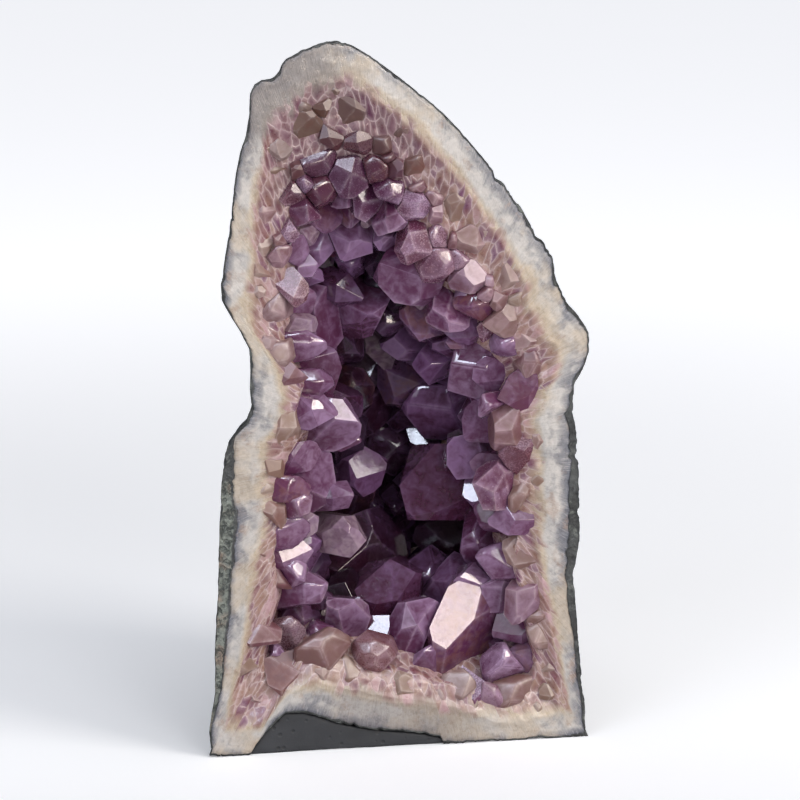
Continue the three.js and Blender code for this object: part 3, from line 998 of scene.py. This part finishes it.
def deep_in(shape, point):
    """0 at the band's edge on the face, 1 well inside the hollow, and up to DARKEST in the hollow's
    shaded corners, where painted shade darkens the crystals.
    """
    centre = centre_at(point.y)
    flat = Vector((point.x - centre.x, point.z - centre.z))
    bearing = math.atan2(flat.y, flat.x)
    if bearing < -math.pi / 2:
        bearing += math.tau
    band_in = np.interp(bearing, shape.bearings, shape.band_in)
    inward = held((band_in - flat.length) / (34 * MM))
    behind = held((point.y - FACE) / (42 * MM), 1.1)
    dark = 0.0
    # Painted shade: near these corners deep rises past 1, and the crystals' colour is darkened
    # there.
    for x, z, reach, start in SHADED_CAVES:
        near = held(1.6 - 1.6 * math.hypot(point.x - x, point.z - z) / reach)
        dark = max(dark, near * held((point.y - FACE - start) / (8 * MM)))
    return held(0.5 * inward + 0.72 * behind + 0.6 * dark - 0.06, DARKEST)


def named_crystal(shape, name, rng):
    """A node's own crystal: where it stands, and its solid with the cuts at its root left out."""
    mesh = frame["nodes"][name].data
    places = np.array([tuple(v.co) for v in mesh.vertices])
    normals = np.array([tuple(p.normal) for p in mesh.polygons])
    areas = np.array([p.area for p in mesh.polygons])
    limits = (places @ normals.T).max(axis=0)
    own = np.array([places[p.vertices[0]] @ normals[i] for i, p in enumerate(mesh.polygons)])
    axis = Vector(np.linalg.eigh((normals * areas[:, None]).T @ normals)[1][:, 0])
    low, high = places.min(axis=0), places.max(axis=0)
    solid = Solid(low, high)
    used = []
    for number in np.argsort(-areas):
        normal = Vector(normals[number])
        if limits[number] - own[number] > 0.03 * MM or areas[number] < (0.25 * MM) ** 2:
            continue
        if any(normal.angle(other, 0) < math.radians(2) for other in used):
            continue
        used.append(normal)
        solid.clip(normal * limits[number], normal, SAWN if normal.y < -0.999 else FACET)
    middle = Vector(places.mean(axis=0))
    hollow = Vector((4 * MM, FACE + 12 * MM, min(max(middle.z, 60 * MM), 215 * MM)))
    if axis.dot(hollow - middle) < 0:
        axis = -axis
    heights = places @ np.array(axis)
    length = heights.max() - heights.min()
    tip = Vector(places[heights.argmax()])
    root = middle + axis * (heights.min() - middle.dot(axis))
    radius = math.sqrt(solid.size() / (2.2 * length))
    crystal = Crystal(root, axis, length, radius, deep_in(shape, tip), rng.random())
    break_front(solid, rng)
    return crystal, solid


# ---- Small crystals ----


DRAWS = {"wall": 7000, "front": 4200}   # places tried on the hollow's wall and round its mouth
CLEAR = 0.74                            # how far crystals keep apart, as a share of their widths
CROWD = 18 * MM                         # how far off a neighbour can still cut a crystal
CROWN_FROM, CROWN_TO = math.radians(50), math.radians(128)


def size_for(inward, behind, crown, rng):
    """The width of a small crystal: finer near the band and on the face, coarser in the hollow."""
    middle = 2.6 + 0.3 * inward / MM + 0.08 * behind / MM
    if crown:
        middle = min(middle, 4.2 + 0.06 * behind / MM)
    return max(min(middle, 8.2) * math.exp(rng.gauss(0, 0.24)), 1.9) * MM


def spots_on(rings, rng, count):
    """Random places on a surface of rings, even by area: a point, a normal and a column."""
    grid = np.array([[tuple(p) for p in ring] for ring in rings])
    columns = grid.shape[1]
    right = np.roll(grid, -1, axis=1)
    normal = np.cross(right[:-1] - grid[:-1], grid[1:] - grid[:-1])
    area = np.linalg.norm(normal, axis=2)
    share = np.cumsum(area.ravel() / area.sum())
    for _ in range(count):
        cell = min(int(np.searchsorted(share, rng.random())), share.size - 1)
        row, column = divmod(cell, columns)
        a, b = rng.random(), rng.random()
        near = grid[row, column] * (1 - a) + right[row, column] * a
        far = grid[row + 1, column] * (1 - a) + right[row + 1, column] * a
        yield Vector(near * (1 - b) + far * b), Vector(normal[row, column]).normalized(), column


def scatter(shape, named, settings, rng):
    """Small crystals over the bed, the widest first, each clear of the ones that stand already."""
    draws = []
    for surface, count in DRAWS.items():
        for point, way, column in spots_on(_made[surface], rng, count):
            centre = centre_at(point.y)
            outward_from = Vector((point.x - centre.x, 0, point.z - centre.z))
            if way.dot(FORWARD * 0.4 - outward_from.normalized()) < 0:
                way = -way
            inward = shape.band_in[column] - outward_from.length
            if inward < (2.8 + 4.2 * rng.random()) * MM:
                continue
            crown = CROWN_FROM < shape.bearings[column] < CROWN_TO
            radius = size_for(inward, point.y - FACE, crown, rng)
            draws.append((radius, point, way, -outward_from.normalized(), inward, crown))
    draws.sort(key=lambda draw: -draw[0])
    taken = np.array([tuple(c.root + c.axis * (settings.root + 0.2 * c.length)) for c in named])
    widths = np.array([c.radius for c in named])
    made = []
    for radius, point, way, inwards, inward, crown in draws:
        gaps = np.linalg.norm(taken - np.array(point), axis=1) - CLEAR * (widths + radius)
        if gaps.min() < 0:
            continue
        taken = np.vstack([taken, np.array(point)])
        widths = np.append(widths, radius)
        behind = point.y - FACE
        jitter = Vector((rng.gauss(0, 1), rng.gauss(0, 1), rng.gauss(0, 1))) * 0.17
        lean = math.radians(18 if crown else 34) + min(behind / (26 * MM), 1) * math.radians(38)
        lean *= min(0.25 + inward / (9 * MM), 1)
        forward = (FORWARD * math.cos(lean) + inwards * math.sin(lean)).normalized()
        flat = 1 - held((behind - 8 * MM) / (26 * MM))
        axis = (forward * flat + way * (1 - flat) + jitter).normalized()
        room = (point.y - FACE) / max(-axis.y, 0.25)
        rise = radius * rng.uniform(1.1, 2.3)
        slope = rng.uniform(42, 54)
        if behind < 7 * MM:
            slope = rng.uniform(50, 66)
            rise = min(rise, room + rng.uniform(-0.5, 0.4) * MM)
        deep = deep_in(shape, point + axis * rise)
        root = point - axis * settings.root
        made.append(Crystal(root, axis, rise + settings.root, radius, deep, rng.random(), slope))
    return made


def neighbour_planes(crystal, others, gap):
    """The planes between a crystal and those that crowd it, as points and normals."""
    planes = []
    for other in others:
        if other is crystal:
            continue
        apart = other.middle - crystal.middle
        mean = crystal.axis + other.axis
        if mean.length < 0.8:
            continue
        mean.normalize()
        across = apart - mean * apart.dot(mean)
        width = across.length
        if width < 0.2 * MM or width > 1.3 * (crystal.radius + other.radius):
            continue
        share = 0.5 + (crystal.radius ** 2 - other.radius ** 2) / (2 * width ** 2)
        share = min(max(share, 0.25), 0.85)
        way = across / width
        planes.append((crystal.middle + across * share - way * gap, way))
    return planes


def small_crystal(crystal, others, front, rng):
    """A small crystal cut by its neighbours, or nothing where there is no room for it."""
    solid = grown(crystal, rng)
    for point, normal in neighbour_planes(crystal, others, 0.04 * MM):
        solid.clip(point, normal, SHARED)
    solid.clip(Vector((0, front, 0)), FORWARD, SAWN)
    if len(solid.faces) < 4 or solid.size() < (1.0 * MM) ** 3:
        return None
    break_front(solid, rng)
    return solid if len(solid.faces) > 3 else None


# ---- Pieces ----

_made = {}        # what the operators share: the stone's radii, materials, surfaces and crystals
RIND_RINGS = 94   # rings from the face to the back of the rind's outside


def stone():
    if "stone" not in _made:
        _made["stone"] = Stone(bpy.context.scene.geode_stone)
    return _made["stone"]


def face_rings(shape, outer, inner, rows, y_at):
    """Rings across the face from one radius to another. y_at gives each point's depth."""
    rings, across = [], []
    for k in range(rows + 1):
        share = k / rows
        radii = outer * (1 - share) + inner * share
        depths = np.array([
            y_at(centre_at(FACE) + direction(b) * r, share) for b, r in zip(shape.bearings, radii)])
        rings.append(shape.points(radii, depths))
        across.append(shape.rind_in - radii)
    return rings, across


def face_relief(point):
    """How far behind the face the sawn stone lies at a point, but for its pits and cells."""
    return 0.3 * MM + 0.22 * MM * noise.fractal(point * 160, 0.8, 2.1, 4)


def lumpy(point, settings):
    """How far the rind's outside stands out at a point."""
    broad = noise.fractal(point * 28, 0.9, 2.1, 4)
    knobs = abs(noise.noise(point * 85 + Vector((4, 7, 1))))
    crust = noise.fractal(point * 230, 0.8, 2.1, 3)
    return settings.lump * (1.3 * broad - 1.5 * knobs + 0.2) + 0.4 * MM * crust


def rock_share(bearing):
    """1 where the sawn rind is the pale green-grey rock of the lower left, else 0."""
    degrees = math.degrees(bearing)
    return held((degrees - 187) / 3) * held((238 - degrees) / 4)


def skin_share(bearing):
    """1 where the sawn rind is dark and wide, at the lower right, and at the notch, else 0."""
    degrees = (math.degrees(bearing) + 180) % 360 - 180
    right = held((degrees + 60) / 5) * held((16 - degrees) / 6)
    notch = held((degrees % 360 - 174) / 6) * held((192 - degrees % 360) / 4)
    return max(right, notch)


def bed_depth():
    """How far behind the face the hollow's back wall stands."""
    centre = centre_at(FACE + 60 * MM)
    start = Vector((centre.x, FACE + 5 * MM, centre.z))
    hit = tree_of(BED).ray_cast(start, -FORWARD, REACH)[0]
    return hit.y - FACE


def bed_wall(shape):
    """Rings over the hollow's wall from the face to the back, without the crystals' sockets."""
    back = bed_depth()
    depths = behind_face(0.6, 1.5, 3, 5, 7.5, 10, 13, 16, 19.5, 23, 27, 31, 35, 40, 45, 50, 55)
    depths += [FACE + back * share for share in (0.72, 0.79, 0.85, 0.9, 0.94, 0.97, 0.985)
               if back * share > 58 * MM]
    table = np.array([shape.inside("bed", y) for y in depths])
    table[table == 0] = 2 * MM
    least = [np.min(table[max(0, k - 1):k + 2], axis=0) for k in range(len(table))]
    table = np.array([smooth(shrunk(radii, 10), 8) for radii in least])
    table[0] = np.minimum(shape.bed_in, table[0])
    for k in range(1, len(table)):
        table[k] = np.minimum(table[k], table[k - 1] * 1.01)
    return depths, table


class GEODE_OT_rind(bpy.types.Operator):
    """Make the basalt rind: lumpy outside, chipped edge, pitted where it is sawn"""

    bl_idname = "geode.rind"
    bl_label = "Basalt Rind"

    def execute(self, context):
        settings = context.scene.geode_stone
        shape = stone()
        inner_y = behind_face(107, 100, 88, 72, 54, 36, 20, 9, 3)
        rings = []
        for y in inner_y:
            radii = shape.outside("band", y)
            if y < FACE + 10 * MM:
                radii = np.minimum(radii, shape.rind_in - 0.1 * MM)
            rings.append(shape.points(np.maximum(radii - 0.1 * MM, MM), y))

        def pitted(point, share):
            pit = max(0.0, noise.noise(point * 330) - 0.05)
            pit += 0.6 * max(0.0, noise.noise(point * 760))
            rise = math.sin(math.pi * share) ** 0.5
            rounded = 0.35 * MM * (1 - share if share < 0.5 else 0)
            return FACE + 0.25 * MM + settings.pit * pit * rise + rounded

        face, _ = face_rings(shape, shape.outline, shape.rind_in, 6, pitted)
        rings += reversed(face)
        pale = np.array([rock_share(b) for b in shape.bearings])
        cuts = [pale * 0] * len(inner_y) + [pale * share for share in (0, 0.45, 1, 1, 1, 1, 0.6)]
        depths = behind_face(0.5, 1.2, 2.4, 4)
        depths += [y for y in depths_to_back(RIND_RINGS) if y > FACE + 5 * MM]
        for y in depths:
            fade = min(1, (y - FACE) / (15 * MM))
            radii = []
            for i, bearing in enumerate(shape.bearings):
                radius = shape.body_radius(bearing, y) if y > FACE + 1 * MM else shape.outline[i]
                if fade < 1:
                    radius = radius * fade + (1 - fade) * min(radius, shape.outline[i] + 0.2 * MM)
                point = centre_at(y) + direction(bearing) * radius
                out = lumpy(point, settings) * fade
                if point.z < 4 * MM:
                    out = min(out, 0)
                radii.append(max(radius + out, 0.5 * MM))
            ring = shape.points(radii, y)
            for point in ring:
                point.z = max(point.z, 0.02 * MM)
            rings.append(ring)
            cuts.append(np.full(shape.count, 0.0))
        piece = ring_mesh("rind_stone", rings, shape.along, cut=cuts)
        finish_piece(piece, rind_material(settings), "rind", RIND)
        return {"FINISHED"}


class GEODE_OT_band(bpy.types.Operator):
    """Make the chalcedony band with its wandering edges"""

    bl_idname = "geode.band"
    bl_label = "Chalcedony Band"

    def execute(self, context):
        shape = stone()
        rings, across = [], []
        for y in behind_face(105, 95, 80, 60, 40, 20, 8, 2.5):
            radii = shape.outside("band", y)
            limit = shape.rind_in - 0.15 * MM if y < FACE + 10 * MM else radii
            rings.append(shape.points(np.maximum(np.minimum(radii, limit) - 0.35 * MM, MM), y))
            across.append(np.zeros(shape.count))

        def rippled(point, share):
            under = max(0.0, share - 0.8) / 0.2 * 0.12 * MM
            return FACE + face_relief(point) + max(0.0, 1 - share * 9) * 0.4 * MM + under

        face, widths = face_rings(
            shape, shape.rind_in + 0.05 * MM, shape.band_in - 0.2 * MM, 26, rippled)
        rings += face
        across += widths
        for y in behind_face(2, 8, 20, 40, 60, 80, 95):
            rings.append(shape.points(np.maximum(smooth(shape.inside("band", y), 4), MM), y))
            across.append(widths[-1])
        piece = ring_mesh("band_stone", rings, shape.along, across=across)
        finish_piece(piece, pale_material(context), "band", BAND)
        return {"FINISHED"}


class GEODE_OT_bed(bpy.types.Operator):
    """Make the massive quartz that the crystals stand on"""

    bl_idname = "geode.bed"
    bl_label = "Quartz Bed"

    def execute(self, context):
        shape = stone()
        depths, table = bed_wall(shape)
        _made["wall"] = [shape.points(radii, y) for y, radii in zip(depths, table)]
        rings, across = [], []
        for y in behind_face(95, 80, 60, 40, 20, 8, 2.5):
            rings.append(shape.points(np.maximum(shape.outside("bed", y) - 0.4 * MM, MM), y))
            across.append(np.zeros(shape.count))

        def cellular(point, share):
            centre = centre_at(FACE)
            bearing = math.atan2(point.z - centre.z, point.x - centre.x)
            bearing += math.tau if bearing < -math.pi / 2 else 0
            inward = share * np.interp(bearing, shape.bearings, shape.band_in - table[0])
            cells = noise.voronoi(point * 210)[0][0]
            sunk = min(3.2 * MM, 0.3 * max(inward - 4 * MM, 0))
            under = 0.12 * MM * max(0.0, 1 - share / 0.24)
            knobs = min(max(share - 0.24, 0) * 3, 1) * 0.8 * MM * cells
            return FACE + face_relief(point) + under + sunk + knobs

        face, widths = face_rings(
            shape, shape.band_in + 2.2 * MM, table[0] + 0.3 * MM, 30, cellular)
        _made["front"] = face
        rings += face
        across += widths
        for y, radii in zip(depths[3:], table[3:]):
            bumps = []
            for bearing, radius in zip(shape.bearings, radii):
                point = centre_at(y) + direction(bearing) * radius
                cells = 1.6 * MM * (0.5 - noise.voronoi(point * 150)[0][0])
                bumps.append(cells + 0.5 * MM * noise.noise(point * 500))
            rings.append(shape.points(radii - np.array(bumps), y))
            across.append(shape.rind_in - radii + (y - FACE))
        piece = ring_mesh("bed_stone", rings, shape.along, across=across)
        finish_piece(piece, pale_material(context), "bed", BED)
        return {"FINISHED"}


class GEODE_OT_foot(bpy.types.Operator):
    """Make the cast foot with its worn edges"""

    bl_idname = "geode.foot"
    bl_label = "Cast Foot"

    def execute(self, context):
        mesh = frame["nodes"][FOOT].data.copy()
        piece = add_object("foot_cement", mesh)
        work = bmesh.new()
        work.from_mesh(mesh)
        bmesh.ops.remove_doubles(work, verts=work.verts, dist=0.01 * MM)
        bmesh.ops.dissolve_limit(
            work, angle_limit=math.radians(1), verts=work.verts, edges=work.edges, delimit=set())
        bmesh.ops.triangulate(work, faces=work.faces)
        work.to_mesh(mesh)
        work.free()
        remesh = piece.modifiers.new("even faces", "REMESH")
        remesh.mode = "VOXEL"
        remesh.voxel_size = 1.1 * MM
        apply_modifiers(piece)
        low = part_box(FOOT)[0].z
        for vert in piece.data.vertices:
            swell = 0.35 * MM * noise.fractal(vert.co * 60, 0.9, 2.1, 4)
            grain = 0.08 * MM * noise.noise(vert.co * 500)
            vert.co += vert.normal * (swell + grain - 0.15 * MM)
            vert.co.z = max(vert.co.z, low + 0.02 * MM)
        piece.data.shade_smooth()
        finish_piece(piece, foot_material(context.scene.geode_stone), "foot", FOOT)
        return {"FINISHED"}


def apply_modifiers(piece):
    graph = bpy.context.evaluated_depsgraph_get()
    mesh = bpy.data.meshes.new_from_object(piece.evaluated_get(graph))
    old = piece.data
    piece.modifiers.clear()
    piece.data = mesh
    bpy.data.meshes.remove(old)


class GEODE_OT_named_crystals(bpy.types.Operator):
    """Refine each named crystal: broken fronts, worn edges and a border inside every face"""

    bl_idname = "geode.named_crystals"
    bl_label = "Named Crystals"

    def execute(self, context):
        settings = context.scene.geode_crystals
        rng = random.Random(settings.seed)
        material = _made["amethyst"] = amethyst_material(settings)
        slots = {part["node"]: part["material_slot"] for part in frame["record"]["subparts"]}
        _made["named"] = []
        for name in CRYSTALS:
            crystal, solid = named_crystal(stone(), name, rng)
            _made["named"].append(crystal)
            soft = rng.random() < 0.3
            blunt(crystal, solid, rng)
            solid.wear(settings.bevel * (6 if soft else 1))
            facets = FacetMesh()
            facets.add(crystal, solid, rng, soft)
            finish_piece(facets.piece(name + "_facets"), material, slots[name], name)
        return {"FINISHED"}


class GEODE_OT_small_crystals(bpy.types.Operator):
    """Grow the small crystals over the bed, between the named ones"""

    bl_idname = "geode.small_crystals"
    bl_label = "Small Crystals"

    def execute(self, context):
        settings = context.scene.geode_crystals
        rng = random.Random(settings.seed + 1)
        named = _made["named"]
        small = scatter(stone(), named, settings, rng)
        everyone = named + small
        near = kdtree.KDTree(len(everyone))
        for i, crystal in enumerate(everyone):
            near.insert(crystal.middle, i)
        near.balance()
        groups = {}
        for crystal in small:
            crowd = [everyone[i] for _, i, _ in near.find_range(crystal.middle, CROWD)]
            solid = small_crystal(crystal, crowd, FACE + rng.uniform(0.1, 0.7) * MM, rng)
            if solid is None:
                continue
            soft = rng.random() < (0.5 if crystal.middle.y < FACE + 14 * MM else 0.2)
            solid.wear(settings.bevel * (5 if soft else 1))
            groups.setdefault(self.side_of(crystal), FacetMesh()).add(crystal, solid, rng, soft)
        for side, facets in sorted(groups.items()):
            slot = "amethyst_deep" if side == "back" else "amethyst"
            finish_piece(facets.piece("small_crystals_" + side), _made["amethyst"], slot)
        return {"FINISHED"}

    @staticmethod
    def side_of(crystal):
        point = crystal.middle
        if point.y > FACE + 42 * MM:
            return "back"
        if point.z > 0.72 * HEIGHT:
            return "crown"
        if point.z < 0.15 * HEIGHT:
            return "floor"
        return "left" if point.x < 0 else "right"


# ---- Studio ----


def aim(thing, target):
    thing.rotation_euler = (target - thing.location).to_track_quat("-Z", "Y").to_euler()


def away(bearing, height_angle):
    """The way from the geode out to a bearing and a height. Bearing 0 is in front of the face."""
    return Vector((
        math.sin(bearing) * math.cos(height_angle), -math.cos(bearing) * math.cos(height_angle),
        math.sin(height_angle)))


def soft_light(name, bearing, height_angle, distance, width, height, power, color):
    """A rectangular light that looks at the middle of the face. Its angles are in degrees."""
    light = bpy.data.lights.new(name, "AREA")
    light.shape = "RECTANGLE"
    light.size, light.size_y, light.energy, light.color = width, height, power, color
    lamp = add_object(name, light)
    lamp.location = TARGET + distance * away(math.radians(bearing), math.radians(height_angle))
    aim(lamp, TARGET)
    return lamp


TARGET = Vector((0, FACE, 150.5 * MM))  # the middle of the face
FLOOR_HALF = 9.0

# The large lights, by the name of their power's setting: bearing, height, distance, width, height
# and colour.
LIGHTS = {
    "key": (52, 34, 1.5, 0.6, 0.6, (1.0, 0.96, 0.9)),
    "fill": (-48, 30, 1.6, 0.7, 1.1, (0.86, 0.91, 1.0)),
    "front": (14, 22, 2.0, 0.6, 0.6, (1.0, 0.98, 0.96)),
    "top": (10, 74, 1.5, 0.9, 0.9, (0.96, 0.98, 1.0)),
}

# Small bright cards that only show as glints: name, bearing, height, size, power and colour.
GLINTS = (
    ("glint_right", 40, 30, 0.5, 15, (1.0, 0.9, 0.8)),
    ("glint_left", -34, 38, 0.5, 16, (0.76, 0.84, 1.0)),
    ("glint_high", 4, 62, 0.5, 15, (0.8, 0.87, 1.0)),
    ("glint_low", 16, 6, 0.36, 7, (1.0, 0.88, 0.76)),
)


class GEODE_OT_stage(bpy.types.Operator):
    """Make the floor, the lights, the pale surroundings and the camera"""

    bl_idname = "geode.stage"
    bl_label = "Stage"

    def execute(self, context):
        scene = context.scene
        settings = scene.geode_stage
        self.add_floor(settings)
        self.add_world(scene)
        for name, (*place, color) in LIGHTS.items():
            soft_light(name, *place, getattr(settings, name), color)
        for name, bearing, height_angle, size, power, color in GLINTS:
            card = soft_light(name, bearing, height_angle, 1.5, size, size, power, color)
            card.visible_diffuse = False
            card.visible_transmission = False
        camera = bpy.data.cameras.new("camera")
        camera.lens = settings.lens
        camera.sensor_width = 36
        holder = add_object("camera", camera)
        holder.location = TARGET + settings.distance * away(settings.azimuth, settings.elevation)
        aim(holder, TARGET)
        scene.camera = holder
        scene.view_settings.view_transform = "Standard"
        return {"FINISHED"}

    @staticmethod
    def add_floor(settings):
        mesh = bpy.data.meshes.new("floor")
        signs = ((-1, -1), (1, -1), (1, 1), (-1, 1))
        mesh.from_pydata([(x * FLOOR_HALF, y * FLOOR_HALF, 0) for x, y in signs], [], [range(4)])
        floor = add_object("floor", mesh)
        material, tree, place = new_material("Pale Floor")
        path = add_node(tree, "ShaderNodeLightPath").outputs
        mirrored, seen = Field(path["Is Glossy Ray"]), Field(path["Is Camera Ray"])
        grain = place.noise(3.0, 3.0).ease(0.3, 0.7, 0.0, 0.04)
        color = blended(grain, settings.floor, (0.8, 0.81, 0.83))
        color = blended(mirrored, color, (0.2, 0.2, 0.21))
        far = place.node("ShaderNodeVectorMath", {0: place}, "Value", operation="LENGTH")
        back = place.parts()[1]
        glow = far.ease(0.25, 1.3, 0.17, 0.6) * seen.ease(0.0, 1.0, 0.3, 1.0)
        coat(tree, {
            "Base Color": color, "Roughness": 0.85, "Emission Color": opaque(settings.floor),
            "Emission Strength": glow * back.ease(-0.16, -0.04, 0.35, 1.0)})
        floor.data.materials.append(material)
        floor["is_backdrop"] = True

    @staticmethod
    def add_world(scene):
        world = bpy.data.worlds.new("studio")
        scene.world = world
        world.use_nodes = True
        tree = world.node_tree
        tree.nodes.clear()
        path = add_node(tree, "ShaderNodeLightPath").outputs
        seen = add_node(tree, "ShaderNodeBackground", {"Color": opaque(srgb(240, 241, 245))})
        lit = add_node(tree, "ShaderNodeBackground", {
            "Color": (0.9, 0.93, 1.0, 1.0),
            "Strength": Field(path["Is Glossy Ray"]).ease(0.0, 1.0, 0.4, 0.1)})
        mix = add_node(tree, "ShaderNodeMixShader", {
            0: Field(path["Is Camera Ray"]), 1: Field(lit.outputs[0]), 2: Field(seen.outputs[0])})
        add_node(tree, "ShaderNodeOutputWorld", {"Surface": Field(mix.outputs[0])})


# ---- Add-on ----

OPERATORS = (
    GEODE_OT_rind, GEODE_OT_band, GEODE_OT_bed, GEODE_OT_foot, GEODE_OT_named_crystals,
    GEODE_OT_small_crystals, GEODE_OT_stage)


class GEODE_PT_panel(bpy.types.Panel):
    """Lists the geode's pieces and their settings"""

    bl_label = "Geode"
    bl_idname = "GEODE_PT_panel"
    bl_space_type = "VIEW_3D"
    bl_region_type = "UI"
    bl_category = "Geode"

    def draw(self, context):
        for operator in OPERATORS:
            self.layout.operator(operator.bl_idname)
        for name in SETTINGS:
            box = self.layout.box()
            group = getattr(context.scene, name)
            for key in group.bl_rna.properties.keys():
                if key not in {"rna_type", "name"}:
                    box.prop(group, key)


SETTINGS = {
    "geode_stone": StoneSettings, "geode_crystals": CrystalSettings, "geode_stage": StageSettings}


def register():
    for kind in (*SETTINGS.values(), *OPERATORS, GEODE_PT_panel):
        bpy.utils.register_class(kind)
    for name, kind in SETTINGS.items():
        setattr(bpy.types.Scene, name, bpy.props.PointerProperty(type=kind))


def unregister():
    for name in SETTINGS:
        delattr(bpy.types.Scene, name)
    for kind in reversed((*SETTINGS.values(), *OPERATORS, GEODE_PT_panel)):
        bpy.utils.unregister_class(kind)


def main():
    register()
    for operator in OPERATORS:
        group, name = operator.bl_idname.split(".")
        getattr(getattr(bpy.ops, group), name)()
    sizes = {"cad": CAD_BOX, "visual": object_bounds()}
    plain = {key: [list(corner) for corner in box] for key, box in sizes.items()}


if __name__ == "__main__":
    main()
